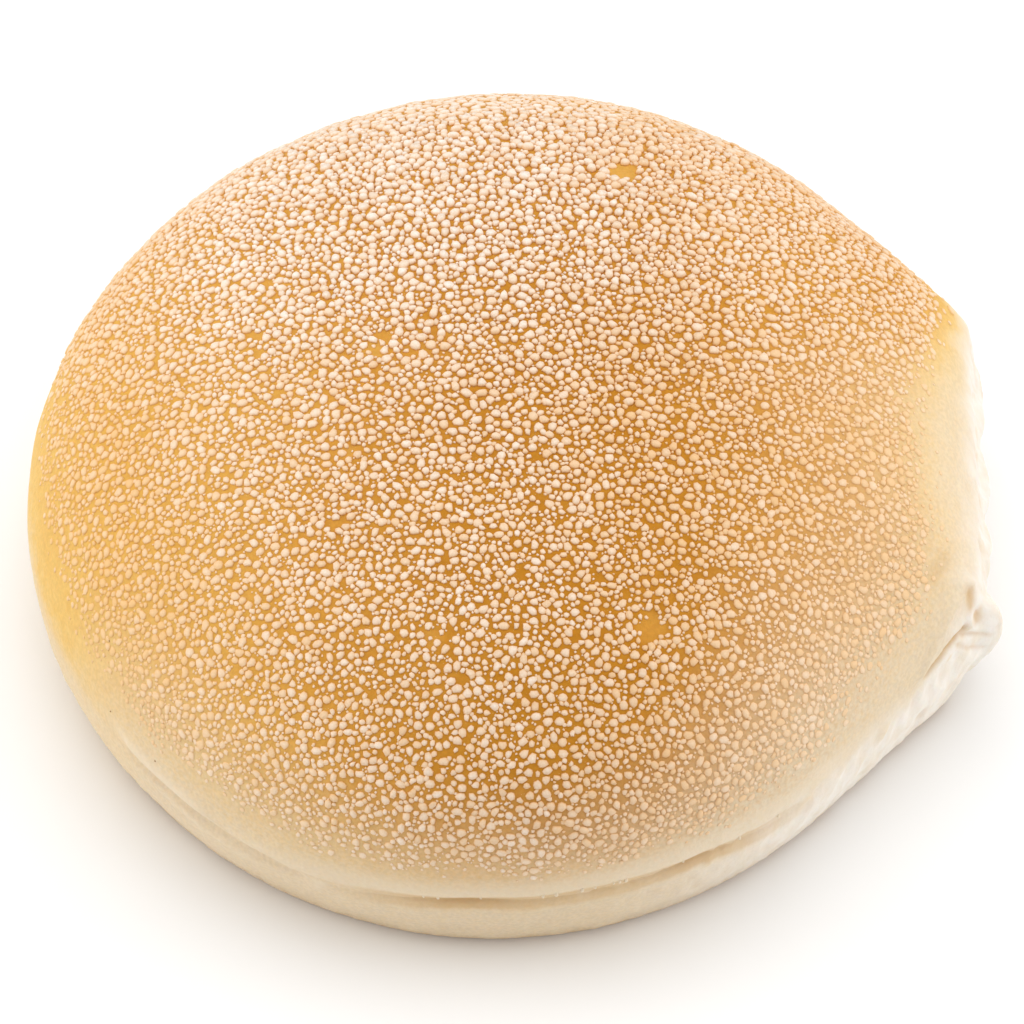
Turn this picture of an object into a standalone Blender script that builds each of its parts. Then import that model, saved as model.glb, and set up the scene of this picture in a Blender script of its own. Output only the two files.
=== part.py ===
"""A morning roll: one soft, domed, batch-baked roll under a crust of coarse flour.

Units are metres and +Z is up. The origin is the middle of the flat underside.
The front is at -Y. The side at +X was pulled out and torn when the batch was broken up.
"""

import math
import random

import bmesh
import bpy
from mathutils import Matrix, Vector, noise
from mathutils.bvhtree import BVHTree

MM = 0.001

# Whole roll: a little oval, and a little squared by its neighbours in the batch
ROLL_RADIUS = 53.8 * MM
ROLL_HEIGHT = 43.1 * MM
OVAL_SHARE = 0.009
OVAL_ANGLE = math.radians(65)
SQUARE_SHARE = 0.005
DOME_POWER = 2.25
SWELL_DEPTH = 0.2 * MM
SWELL_SIZE = 24 * MM

# Crease round the side, where the risen dome hangs over the band below it
WIDEST_HEIGHT = 15.0 * MM
WIDEST_TILT = 1.3 * MM
LIP_HEIGHT = 13.2 * MM
LIP_TILT = 2.6 * MM
LIP_ROUND = 1.8 * MM
LIP_LEAST_DROP = 1.5 * MM
LIP_EDGE_SHARE = 0.62
LIP_TURN = math.radians(120)
POCKET_DEPTH = 1.1 * MM
POCKET_GAP = 0.6 * MM
POCKET_RISE = math.radians(24)
CREASE_FRONT = math.radians(-79)
CREASE_FRONT_HALF = math.radians(31)
CREASE_FADE = math.radians(7)
CREASE_LEAST = 0.12
CREASE_END = math.radians(3)
CREASE_END_FADE = math.radians(10)

# Pale band below the crease, and the flat underside
BAND_INSET = 1.3 * MM
SHOULDER_ROUND = 0.9 * MM
BAND_BULGE = 0.5 * MM
BASE_ROUND = 1.8 * MM
BASE_INSET = 3.3 * MM

# Torn side: the two corners of the face where the next roll was pulled away
TORN_BACK = Vector((54.8, 20.7)) * MM
TORN_FRONT = Vector((54.7, -19.8)) * MM
TORN_CORNER_SOFT = 0.5 * MM
TORN_CORNER_SPREAD = 4.5 * MM
TORN_TOP = 19.5 * MM
TORN_EDGE = 2.5 * MM
TORN_BRIM = 1.5 * MM
NECK_POWER = 4
FLANK_HALF_SPREAD = math.radians(80)

# Lobes of the torn face, from back to front: middle, half width and how far each stands out
TORN_LOBES = (
    (18.0 * MM, 6.0 * MM, 0.9 * MM),
    (6.0 * MM, 5.2 * MM, 0.9 * MM),
    (-2.8 * MM, 4.6 * MM, 0.8 * MM),
    (-14.8 * MM, 5.5 * MM, 2.1 * MM),
)
LOBE_LEAN = -0.7
LOBE_MIDDLE = 9 * MM
FOLD_DEPTH = 0.7 * MM
FOLD_WIDTH = 4.5 * MM
FOLD_HEIGHT = 9 * MM
FOLD_CUT = 0.3

# Groove that leaves the crease at each torn corner and runs along the torn face under the dome
GROOVE_HEIGHT = 20.8 * MM
GROOVE_HALF = 1.5 * MM
GROOVE_DEPTH = 0.5 * MM
GROOVE_FULL = math.radians(20)
GROOVE_START = math.radians(34)
GROOVE_FADE = math.radians(8)

# How finely the surface is divided
COLUMNS = 92
COLUMN_GATHER = 0.42
DOME_ROWS = 16
DOME_GATHER = 1.25
LIP_ROWS = 6
SHOULDER_ROWS = 2
BAND_ROWS = 4
BASE_ROWS = 3
UNDERSIDE_ROWS = 1

# Coarse flour grains that stand on the crust
GRAIN_COUNT = 170
GRAIN_SIDES = 6
GRAIN_SHAPES = 5
GRAIN_HALF_WIDTH = (0.6 * MM, 0.85 * MM)
GRAIN_PROUD = 0.35 * MM
GRAIN_SUNK = 0.45 * MM
GRAIN_TOP_SHARE = 0.66
GRAIN_UNEVEN = 0.25
GRAIN_SPREAD = (0.8, 1.1)
GRAIN_REACH = 0.9
GRAIN_JITTER = 1.6 * MM
GRAIN_SEED = 11
GOLDEN_ANGLE = math.pi * (3 - math.sqrt(5))
BARE_SPOTS = ((Vector((13.9, 28.5)) * MM, 3.4 * MM), (Vector((16.6, -34.5)) * MM, 3.4 * MM))

CRUST_COLOUR = (0.72, 0.43, 0.16, 1.0)
CRUST_ROUGHNESS = 0.62


def clear_scene():
    for item in list(bpy.data.objects):
        bpy.data.objects.remove(item, do_unlink=True)


def smooth_step(value, low, high):
    """0 at low, 1 at high, with a soft start and end."""
    share = min(max((value - low) / (high - low), 0.0), 1.0)
    return share * share * (3 - 2 * share)


def turn_between(angle, other):
    """The smallest turn from one direction to another, from -pi to pi."""
    return (angle - other + math.pi) % (2 * math.pi) - math.pi


def plain_radius(angle):
    """The roll's half width before its torn side is drawn out."""
    oval = OVAL_SHARE * math.cos(2 * (angle - OVAL_ANGLE))
    return ROLL_RADIUS * (1 + oval + SQUARE_SHARE * math.cos(4 * angle))


def tangent_chord(corner, side):
    """Direction and distance of the straight flank from a torn corner to the round."""
    corner_angle = math.atan2(corner.y, corner.x)
    direction = corner_angle + side * math.acos(ROLL_RADIUS / corner.length)
    return direction, plain_radius(direction)


def torn_chord():
    """Direction and distance of the torn face itself."""
    along = TORN_BACK - TORN_FRONT
    outward = Vector((along.y, -along.x)).normalized()
    return math.atan2(outward.y, outward.x), outward.dot(TORN_BACK)


BACK_FLANK = tangent_chord(TORN_BACK, 1)
FRONT_FLANK = tangent_chord(TORN_FRONT, -1)
TORN_FACE = torn_chord()


def outline_radius(angle, softness):
    """The half width with the two flanks and the torn face, their corners rounded."""
    plain = plain_radius(angle)
    if turn_between(angle, BACK_FLANK[0]) > 0 or turn_between(angle, FRONT_FLANK[0]) < 0:
        return plain
    distances = [
        distance / math.cos(turn_between(angle, direction))
        for direction, distance in (BACK_FLANK, TORN_FACE, FRONT_FLANK)
        if abs(turn_between(angle, direction)) < FLANK_HALF_SPREAD
    ]
    nearest = min(distances)
    total = sum(math.exp((nearest - distance) / softness) for distance in distances)
    return max(plain, nearest - softness * math.log(total))


def dome_reach(height, widest_height):
    """The dome's half width at a height, as a share of its widest."""
    rise = max(height - widest_height, 0.0) / (ROLL_HEIGHT - widest_height)
    return max(1 - rise ** DOME_POWER, 0.0) ** (1 / DOME_POWER)


def drawn_out(angle, height, widest_height):
    """How far the torn side stands out past the round: less, and softer, higher up."""
    share = dome_reach(height, widest_height) ** NECK_POWER
    softness = TORN_CORNER_SOFT + TORN_CORNER_SPREAD * (1 - share)
    return share * (outline_radius(angle, softness) - plain_radius(angle))


def crease_share(angle):
    """How deep the crease is: full round the front, faint at the back, none by the torn face."""
    off_front = abs(turn_between(angle, CREASE_FRONT))
    fade = smooth_step(off_front, CREASE_FRONT_HALF - CREASE_FADE, CREASE_FRONT_HALF + CREASE_FADE)
    torn_back = math.atan2(TORN_BACK.y, TORN_BACK.x)
    torn_front = math.atan2(TORN_FRONT.y, TORN_FRONT.x)
    off_torn = abs(turn_between(angle, 0.5 * (torn_back + torn_front)))
    crease_end = 0.5 * (torn_back - torn_front) + CREASE_END
    beside_torn = smooth_step(off_torn, crease_end, crease_end + CREASE_END_FADE)
    return (1 - (1 - CREASE_LEAST) * fade) * beside_torn


def dome_section(angle, widest_height):
    """Points from just off the top to the widest round, as radius and height."""
    rise = ROLL_HEIGHT - widest_height
    points = []
    for row in range(1, DOME_ROWS + 1):
        turn = 0.5 * math.pi * (1 - (1 - row / DOME_ROWS) ** DOME_GATHER)
        reach = math.sin(turn) ** (2 / DOME_POWER)
        height = widest_height + rise * max(math.cos(turn), 0.0) ** (2 / DOME_POWER)
        points.append((plain_radius(angle) * reach, height))
    return points


def arc(centre, radius, start, end, steps):
    """Points of an arc after its start, as offset and height."""
    points = []
    for step in range(1, steps + 1):
        turn = start + (end - start) * step / steps
        points.append((centre[0] + radius * math.cos(turn), centre[1] + radius * math.sin(turn)))
    return points


def creased_flank(widest_height, drop):
    """Lip, pocket and shoulder where the crease is at its deepest."""
    points = [
        (offset, widest_height + height * drop / LIP_ROUND)
        for offset, height in arc((-LIP_ROUND, 0.0), LIP_ROUND, 0, -LIP_TURN, LIP_ROWS)
    ]
    lip_end = points[-1]
    inward = Vector((-math.cos(POCKET_RISE), math.sin(POCKET_RISE)))
    pocket_end = Vector(lip_end) + inward * POCKET_DEPTH
    points.append(tuple(pocket_end))
    points.append((pocket_end.x, pocket_end.y - POCKET_GAP))
    shoulder_top = widest_height - drop - POCKET_GAP
    centre = (-BAND_INSET - SHOULDER_ROUND, shoulder_top - SHOULDER_ROUND)
    points.append((centre[0], shoulder_top))
    points += arc(centre, SHOULDER_ROUND, 0.5 * math.pi, 0, SHOULDER_ROWS)
    return points


def band(shoulder_height):
    """The pale band from the shoulder down to the rounded lower edge."""
    points = []
    for row in range(1, BAND_ROWS + 1):
        share = row / BAND_ROWS
        bulge = BAND_BULGE * math.sin(math.pi * share)
        offset = -BAND_INSET + (BAND_INSET - BASE_INSET) * share + bulge
        points.append((offset, shoulder_height + (BASE_ROUND - shoulder_height) * share))
    return points


def plain_side(widest_height, count):
    """The same stretch with no crease: the side simply draws in to the lower edge."""
    points = []
    for step in range(1, count + 1):
        share = step / count
        height = widest_height + (BASE_ROUND - widest_height) * share
        points.append((-BASE_INSET * share * share, height))
    return points


def section(angle):
    """All points of the roll's section in one direction, from the top to the underside."""
    widest_height = WIDEST_HEIGHT + WIDEST_TILT * math.cos(angle)
    lip_height = LIP_HEIGHT + LIP_TILT * math.cos(angle)
    drop = max((widest_height - lip_height) / LIP_EDGE_SHARE, LIP_LEAST_DROP)
    radius = plain_radius(angle)
    crease = crease_share(angle)
    deep = creased_flank(widest_height, drop)
    deep += band(deep[-1][1])
    plain = plain_side(widest_height, len(deep))
    side = [
        (low[0] + (high[0] - low[0]) * crease, low[1] + (high[1] - low[1]) * crease)
        for low, high in zip(plain, deep)
    ]
    side += arc((-BASE_INSET - BASE_ROUND, BASE_ROUND), BASE_ROUND, 0, -0.5 * math.pi, BASE_ROWS)
    points = dome_section(angle, widest_height)
    points += [(radius + offset, height) for offset, height in side]
    points = [(reach + drawn_out(angle, height, widest_height), height) for reach, height in points]
    rim = points[-1][0]
    for row in range(1, UNDERSIDE_ROWS + 1):
        points.append((rim * (1 - row / (UNDERSIDE_ROWS + 1)), 0.0))
    return points


def torn_relief(point):
    """How far the torn skin's lobes stand out at a point, less the folds pressed into them."""
    low_side = smooth_step(point.y, TORN_FRONT.y, TORN_FRONT.y + TORN_EDGE)
    high_side = 1 - smooth_step(point.y, TORN_BACK.y - TORN_EDGE, TORN_BACK.y)
    outer = smooth_step(point.x, TORN_BACK.x - 2 * TORN_EDGE, TORN_BACK.x - TORN_EDGE)
    top = 1 - smooth_step(point.z, TORN_TOP - TORN_BRIM, TORN_TOP + TORN_BRIM)
    foot = smooth_step(point.z, 0.0, TORN_EDGE)
    fold_place = Vector((point.y / FOLD_WIDTH, point.z / FOLD_HEIGHT, FOLD_CUT))
    relief = -FOLD_DEPTH * abs(noise.noise(fold_place))
    for middle, half_width, proud in TORN_LOBES:
        across = (point.y - middle - LOBE_LEAN * (point.z - LOBE_MIDDLE)) / half_width
        relief += proud * max(0.0, 1 - across * across)
    return low_side * high_side * outer * top * foot * relief


def groove_depth(point):
    """How far the groove under the dome's edge goes in, rising from the crease at each corner."""
    angle = math.atan2(point.y, point.x)
    rise = 1 - smooth_step(abs(angle), GROOVE_FULL, GROOVE_START)
    crease_height = LIP_HEIGHT + LIP_TILT * math.cos(angle)
    height = crease_height + (GROOVE_HEIGHT - crease_height) * rise
    fade = 1 - smooth_step(abs(angle), GROOVE_START, GROOVE_START + GROOVE_FADE)
    off = (point.z - height) / GROOVE_HALF
    return GROOVE_DEPTH * fade * math.exp(-off * off)


def place(angle, reach, height):
    """A point of the finished surface, with the roll's unevenness and torn folds."""
    point = Vector((reach * math.cos(angle), reach * math.sin(angle), height))
    lift = smooth_step(height, 0.0, LIP_HEIGHT)
    swell = SWELL_DEPTH * lift * noise.noise(point / SWELL_SIZE)
    outward = (point - Vector((0, 0, LIP_HEIGHT))).normalized()
    point += outward * swell
    point.x += torn_relief(point) - groove_depth(point)
    return point


def column_angle(column):
    """Directions gather towards the torn side, which has the finest relief."""
    turn = 2 * math.pi * column / COLUMNS
    return turn - COLUMN_GATHER * math.sin(turn)


def make_roll(material):
    shape = bmesh.new()
    columns = []
    for column in range(COLUMNS):
        angle = column_angle(column)
        columns.append([shape.verts.new(place(angle, *point)) for point in section(angle)])
    top = shape.verts.new((0, 0, place(0.0, 0.0, ROLL_HEIGHT).z))
    bottom = shape.verts.new((0, 0, 0))
    for here, beside in zip(columns, columns[1:] + columns[:1]):
        shape.faces.new((top, here[0], beside[0]))
        for row in range(len(here) - 1):
            shape.faces.new((here[row], here[row + 1], beside[row + 1], beside[row]))
        shape.faces.new((here[-1], bottom, beside[-1]))
    bmesh.ops.recalc_face_normals(shape, faces=shape.faces)
    mesh = bpy.data.meshes.new("roll")
    shape.to_mesh(mesh)
    shape.free()
    mesh.materials.append(material)
    mesh.shade_smooth()
    roll = bpy.data.objects.new("roll", mesh)
    return roll


def grain_mesh(index, material):
    """An uneven low grain: a wide foot, sunk in the crust, and a smaller flat top."""
    draw = random.Random(GRAIN_SEED + index)
    shape = bmesh.new()
    foot = []
    crown = []
    for side in range(GRAIN_SIDES):
        angle = 2 * math.pi * (side + draw.uniform(-GRAIN_UNEVEN, GRAIN_UNEVEN)) / GRAIN_SIDES
        reach = draw.uniform(*GRAIN_SPREAD)
        along = Vector((reach * math.cos(angle), reach * math.sin(angle), 0))
        foot.append(shape.verts.new(along + Vector((0, 0, -GRAIN_SUNK / GRAIN_HALF_WIDTH[1]))))
        top = along * GRAIN_TOP_SHARE
        crown.append(shape.verts.new(top + Vector((0, 0, GRAIN_PROUD / GRAIN_HALF_WIDTH[1]))))
    shape.faces.new(crown)
    shape.faces.new(foot[::-1])
    for side in range(GRAIN_SIDES):
        after = (side + 1) % GRAIN_SIDES
        shape.faces.new((foot[side], foot[after], crown[after], crown[side]))
    mesh = bpy.data.meshes.new("flour_grain_%d" % index)
    shape.to_mesh(mesh)
    shape.free()
    mesh.materials.append(material)
    return mesh


def is_bare(spot):
    return any((spot.xy - centre).length < size for centre, size in BARE_SPOTS)


def make_grains(roll, material):
    """Grains spread evenly over the dome by the golden angle, each a little off its place."""
    draw = random.Random(GRAIN_SEED)
    grains = bpy.data.collections.new("flour_grains")
    bpy.context.scene.collection.children.link(grains)
    shapes = [grain_mesh(index, material) for index in range(GRAIN_SHAPES)]
    surface = BVHTree.FromPolygons(
        [vertex.co for vertex in roll.data.vertices],
        [face.vertices[:] for face in roll.data.polygons],
    )
    for index in range(GRAIN_COUNT):
        reach = GRAIN_REACH * ROLL_RADIUS * math.sqrt((index + 0.5) / GRAIN_COUNT)
        angle = index * GOLDEN_ANGLE
        spot = Vector((reach * math.cos(angle), reach * math.sin(angle), 2 * ROLL_HEIGHT))
        spot += Vector((draw.uniform(-1, 1), draw.uniform(-1, 1), 0)) * GRAIN_JITTER
        size = draw.uniform(*GRAIN_HALF_WIDTH)
        spin = draw.uniform(0, 2 * math.pi)
        if is_bare(spot):
            continue
        place_on, outward, _, _ = surface.ray_cast(spot, Vector((0, 0, -1)))
        grain = bpy.data.objects.new("flour_grain", shapes[index % GRAIN_SHAPES])
        turned = outward.to_track_quat("Z", "Y").to_matrix().to_4x4()
        turned = turned @ Matrix.Rotation(spin, 4, "Z")
        grain.matrix_world = Matrix.Translation(place_on) @ turned @ Matrix.Scale(size, 4)
        grains.objects.link(grain)
    return grains


def fuse(roll, grains):
    """Join the grains to the crust as one solid, and drop the loose ones."""
    union = roll.modifiers.new("flour_on_crust", "BOOLEAN")
    union.operation = "UNION"
    union.operand_type = "COLLECTION"
    union.collection = grains
    union.solver = "EXACT"
    bpy.context.view_layer.update()
    evaluated = roll.evaluated_get(bpy.context.evaluated_depsgraph_get())
    joined = bpy.data.meshes.new_from_object(evaluated)
    roll.modifiers.remove(union)
    roll.data = joined
    for grain in list(grains.objects):
        bpy.data.objects.remove(grain, do_unlink=True)
    bpy.data.collections.remove(grains)


def crust_material():
    material = bpy.data.materials.new("floured_crust")
    material.use_nodes = True
    surface = material.node_tree.nodes["Principled BSDF"]
    surface.inputs["Base Color"].default_value = CRUST_COLOUR
    surface.inputs["Roughness"].default_value = CRUST_ROUGHNESS
    return material


def main():
    clear_scene()
    collection = bpy.data.collections.new("morning_roll")
    bpy.context.scene.collection.children.link(collection)
    crust = crust_material()
    roll = make_roll(crust)
    collection.objects.link(roll)
    grains = make_grains(roll, crust)
    fuse(roll, grains)


main()
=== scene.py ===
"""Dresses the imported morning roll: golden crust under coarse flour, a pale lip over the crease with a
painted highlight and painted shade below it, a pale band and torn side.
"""

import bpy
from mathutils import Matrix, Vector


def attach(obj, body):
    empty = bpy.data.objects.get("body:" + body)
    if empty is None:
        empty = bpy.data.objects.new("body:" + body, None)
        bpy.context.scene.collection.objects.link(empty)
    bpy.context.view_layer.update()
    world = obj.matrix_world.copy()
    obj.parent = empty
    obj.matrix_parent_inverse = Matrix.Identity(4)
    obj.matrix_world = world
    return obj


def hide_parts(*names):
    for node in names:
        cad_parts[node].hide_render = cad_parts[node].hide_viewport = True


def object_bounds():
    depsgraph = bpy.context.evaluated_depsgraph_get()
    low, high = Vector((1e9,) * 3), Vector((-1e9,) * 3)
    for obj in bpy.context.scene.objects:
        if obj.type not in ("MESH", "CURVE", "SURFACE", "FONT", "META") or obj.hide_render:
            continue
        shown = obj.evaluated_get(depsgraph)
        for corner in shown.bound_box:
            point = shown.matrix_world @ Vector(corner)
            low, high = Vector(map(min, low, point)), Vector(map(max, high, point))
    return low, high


bl_info = {
    "name": "Morning roll",
    "version": (1, 0, 0),
    "blender": (4, 5, 0),
    "location": "3D View > Sidebar > Bakery",
    "description": "Bakes a floured morning roll round its packed solid",
    "category": "Add Mesh",
}

import math

import bpy
import numpy as np
from bpy.props import FloatProperty, FloatVectorProperty, IntProperty, PointerProperty
from bpy.types import Operator, Panel, PropertyGroup
from mathutils import Vector, kdtree, noise

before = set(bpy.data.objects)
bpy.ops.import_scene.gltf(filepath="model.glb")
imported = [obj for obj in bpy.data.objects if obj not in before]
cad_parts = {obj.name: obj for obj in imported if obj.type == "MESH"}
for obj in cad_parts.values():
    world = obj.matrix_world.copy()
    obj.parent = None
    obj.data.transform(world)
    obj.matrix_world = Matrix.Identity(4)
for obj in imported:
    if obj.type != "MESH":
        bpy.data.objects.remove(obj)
CAD_LOW, CAD_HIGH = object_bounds()

MM = 0.001
NODE = "roll"
BODY = "root"

# Whole roll. Its half width and height come from the frame, less the grains that stand on it.
OVAL_SHARE = 0.009
OVAL_ANGLE = math.radians(65)
SQUARE_SHARE = 0.005
GRAIN_PROUD = 0.29 * MM
ROLL_RADIUS = CAD_HIGH.y / (1 + OVAL_SHARE * math.cos(2 * (math.pi / 2 - OVAL_ANGLE)) + SQUARE_SHARE)
ROLL_HEIGHT = CAD_HIGH.z - GRAIN_PROUD
DOME_POWER = 2.25
SWELL_DEPTH = 0.2 * MM
SWELL_SIZE = 24 * MM

# Crease round the side, where the risen dome hangs over the band below it
WIDEST_HEIGHT = 15.0 * MM
WIDEST_TILT = 1.3 * MM
LIP_HEIGHT = 13.6 * MM
LIP_TILT = 2.8 * MM
LIP_ROUND = 1.2 * MM
LIP_LEAST_DROP = 1.5 * MM
LIP_WAVE = 0.3 * MM
LIP_WAVE_SIZE = 7 * MM
LIP_EDGE_SHARE = 0.70
LIP_TURN = math.radians(105)
POCKET_DEPTH = 0.25 * MM
POCKET_GAP = 0.3 * MM
POCKET_RISE = math.radians(24)
CREASE_FRONT = math.radians(-79.5)
CREASE_FRONT_HALF = math.radians(26)
CREASE_FADE = math.radians(8)
CREASE_LEAST = 0.02
CREASE_MOST = 0.58
CREASE_FAINT = 0.36
CREASE_DEEPER = ((math.radians(-94), math.radians(5)), (math.radians(-66), math.radians(4)))
CREASE_END = math.radians(3)
CREASE_END_FADE = math.radians(10)

# Pale band below the crease, and the flat underside
BAND_INSET = 0.5 * MM
SHOULDER_ROUND = 0.8 * MM
BAND_BULGE = 0.5 * MM
BASE_ROUND = 1.8 * MM
BASE_INSET = 3.3 * MM
BASE_BAKED = (0.2 * MM, 1.9 * MM)

# Torn side: the two corners of the face where the next roll was pulled away
TORN_BACK = Vector((54.8, 20.7)) * MM
TORN_FRONT = Vector((54.7, -19.8)) * MM
TORN_CORNER_SOFT = 0.5 * MM
TORN_CORNER_SPREAD = 4.5 * MM
TORN_TOP = 19.5 * MM
TORN_EDGE = 2.5 * MM
TORN_BRIM = 1.5 * MM
NECK_POWER = 4
FLANK_HALF_SPREAD = math.radians(80)

# Lobes of the torn face, from back to front: middle, half width and how far each stands out
TORN_LOBES = (
    (18.0 * MM, 6.0 * MM, 0.9 * MM),
    (6.0 * MM, 5.2 * MM, 0.9 * MM),
    (-2.8 * MM, 4.6 * MM, 0.8 * MM),
    (-14.8 * MM, 5.5 * MM, 2.1 * MM),
)
LOBE_LEAN = -0.7
LOBE_MIDDLE = 9 * MM
FOLD_DEPTH = 0.7 * MM
FOLD_WIDTH = 4.5 * MM
FOLD_HEIGHT = 9 * MM
FOLD_CUT = 0.3

# Groove that leaves the crease at each torn corner and runs along the torn face under the dome
GROOVE_HEIGHT = 20.8 * MM
GROOVE_HALF = 1.5 * MM
GROOVE_DEPTH = 0.2 * MM
GROOVE_FULL = math.radians(18)
GROOVE_START = math.radians(26)
GROOVE_FADE = math.radians(6)

# How finely the crust is divided
COLUMNS = 560
COLUMN_GATHER = 0.55
DOME_ROWS = 92
DOME_GATHER = 1.25
LIP_ROWS = 14
SHOULDER_ROWS = 6
BAND_ROWS = 34
BASE_ROWS = 8
UNDERSIDE_ROWS = 9
# Rows of the band below the shoulder that the painted shade under the lip reaches
SHADE_ROWS = 4

# Rows below the widest round: middle and half width of the lip's pale edge with its painted highlight,
# start of the painted shade in the pocket, and the rows between the lip and the shoulder
LIP_MARK_ROW = 3
LIP_MARK_HALF = 2.5
POCKET_MARK_ROWS = (DOME_ROWS + 5, DOME_ROWS + 8)
POCKET_ROWS = 3

# Direction and spread of each side. At the torn side and the left flank the flour stops higher up and
# the crust is paler.
TORN_MIDDLE = math.radians(-3)
TORN_SPREAD = math.radians(38)
LEFT_MIDDLE = math.radians(-172)
LEFT_SPREAD = math.radians(41)
BAKE_LEFT_SPREAD = math.radians(64)
FRONT_MIDDLE = math.radians(-68)
FRONT_HALF = math.radians(66)
FRONT_END = math.radians(90)
RIGHT_MIDDLE = math.radians(-50)
RIGHT_SPREAD = math.radians(24)

# Heights between which the crust goes from pale to brown: at the front, and more at those two sides
BAKE_LOW = (8.4 * MM, 19.2 * MM, -2.0 * MM)
BAKE_HIGH = (22.4 * MM, 16.3 * MM, 30.0 * MM)

# The best baked place of the dome, longer from front to back, and how much paler the crust is far off
HOT_PLACE = Vector((8.5, -23.3)) * MM
HOT_FADE = (5.5 * MM, 40.0 * MM)
HOT_PALER = 0.38
HOT_LONGER = 0.55

# Beige bloom that the flour leaves low on the front and right flanks, and all round on the band
BLOOM_ABOVE = 10.8 * MM
BLOOM_BELOW = 10.5 * MM
BLOOM_MOST = 0.9
BLOOM_RIGHT = 7.0 * MM
BAND_BLOOM = 0.65
LIP_STRIPE = 0.6
LIP_STRIPE_ENDS = (0.8 * MM, 4.2 * MM)
BAND_TOP = (13.0 * MM, 18.5 * MM)

# Where the flour ends, and how wide its fade is: at the front, and more at those two sides
FLOUR_EDGE = (18.8 * MM, 13.6 * MM, 8.0 * MM)
FLOUR_FADE = (2.4 * MM, -1.2 * MM, 3.0 * MM)
FLOUR_STRAY = 0.06
FLOUR_STRAY_DEPTH = 6.0 * MM
FLOUR_WANDER = 2.2 * MM
FLOUR_WANDER_SIZE = 7 * MM
FLOUR_RISE = 3 * MM

# Where the torn side's white skin fades into the crust: heights at its middle, how far they drop
# towards its corners, and the turns between which the skin ends round the flanks
TORN_FADE = (20.5 * MM, 27.5 * MM)
TORN_DROP = 9.0 * MM
TORN_DROP_TURN = (math.radians(18), math.radians(34))
TORN_END_TURN = (math.radians(44), math.radians(82))
TORN_RAGGED = 1.6 * MM
TORN_RAGGED_SIZE = 4.0 * MM

# How white the grains are: more at the back and low at the front, creamier right and low on the left
WHITE_FRONT = 0.59
WHITE_BACK = 0.35
WHITE_BACK_PLACES = (-8.0 * MM, 16.0 * MM)
WHITE_LOW = 0.12
WHITE_LOW_PLACES = (-40.0 * MM, -20.0 * MM)
CREAMY_RIGHT = 0.30
CREAMY_RIGHT_PLACES = (0.0, 20.0 * MM)
CREAMY_EDGE = 0.33
CREAMY_EDGE_PLACES = (-46.0 * MM, -30.0 * MM)
CREAMY_LEFT = 0.28
CREAMY_MIDDLE = math.radians(-138)
CREAMY_SPREAD = math.radians(20)
CREAMY_HEIGHTS = (33.0 * MM, 40.0 * MM)

# Small spots that the flour left bare or thin: place, half width and how bare
BARE_SPOTS = (
    (Vector((13.9, 28.5)) * MM, 2.0 * MM, 1.0),
    (Vector((16.6, -34.5)) * MM, 1.9 * MM, 1.0),
    (Vector((-13.8, -0.4)) * MM, 1.2 * MM, 0.8),
    (Vector((-7.0, -36.3)) * MM, 1.2 * MM, 0.8),
    (Vector((-16.5, -14.3)) * MM, 1.0 * MM, 0.7),
    (Vector((-2.0, -1.7)) * MM, 0.9 * MM, 1.0),
)

# Ragged edge of a bare spot, how far it is dented and paler, and the small blister beside one
SPOT_EDGE = (0.7, 1.1)
SPOT_RAGGED = 0.45 * MM
SPOT_RAGGED_SIZE = 1.4 * MM
SPOT_DENT = 0.12 * MM
SPOT_PALER = 0.22
BLISTER_PLACE = Vector((-2.0, -1.7)) * MM
BLISTER_HALF = 0.6 * MM
BLISTER_HEIGHT = 0.3 * MM

# Fine relief of the crust, the band and the torn skin: size of the bumps and how deep they are
CRUST_RELIEF = ((7.0 * MM, 0.14 * MM), (1.6 * MM, 0.05 * MM))
BAND_RELIEF_SIZE = (1.1 * MM, 1.1 * MM, 3.6 * MM)
BAND_RELIEF_DEPTH = 0.2 * MM
BAND_RELIEF_TOP = (1.5 * MM, 0.4 * MM)
TORN_RELIEF_SIZE = 2.2 * MM
TORN_RELIEF_DEPTH = 0.19 * MM
TORN_FOLD_SIZE = (1, TORN_RELIEF_SIZE, 2.5 * TORN_RELIEF_SIZE)
TORN_FIBRE_SIZE = TORN_RELIEF_SIZE / 3
TORN_FIBRES = 0.35

# Small upright folds under the lip: direction, half width, height and reach below the lip
BAND_FOLDS = tuple(
    (math.radians(direction), half * MM, height * MM, reach * MM)
    for direction, half, height, reach in (
        (-111.0, 0.9, 0.22, 5.0),
        (-79.5, 0.6, 0.28, 3.5),
        (-75.0, 0.5, 0.32, 4.0),
        (-63.5, 0.5, 0.40, 6.0),
        (-60.5, 0.6, 0.30, 5.0),
        (-50.0, 0.8, 0.25, 5.0),
        (-36.0, 0.9, 0.30, 5.0),
    )
)

# How far these folds lean, where they start below the lip, and how deep the hollow beside each is
UPRIGHT_LEAN = 0.25
UPRIGHT_TOP = 1.2 * MM
UPRIGHT_HOLLOW = 0.6
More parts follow.
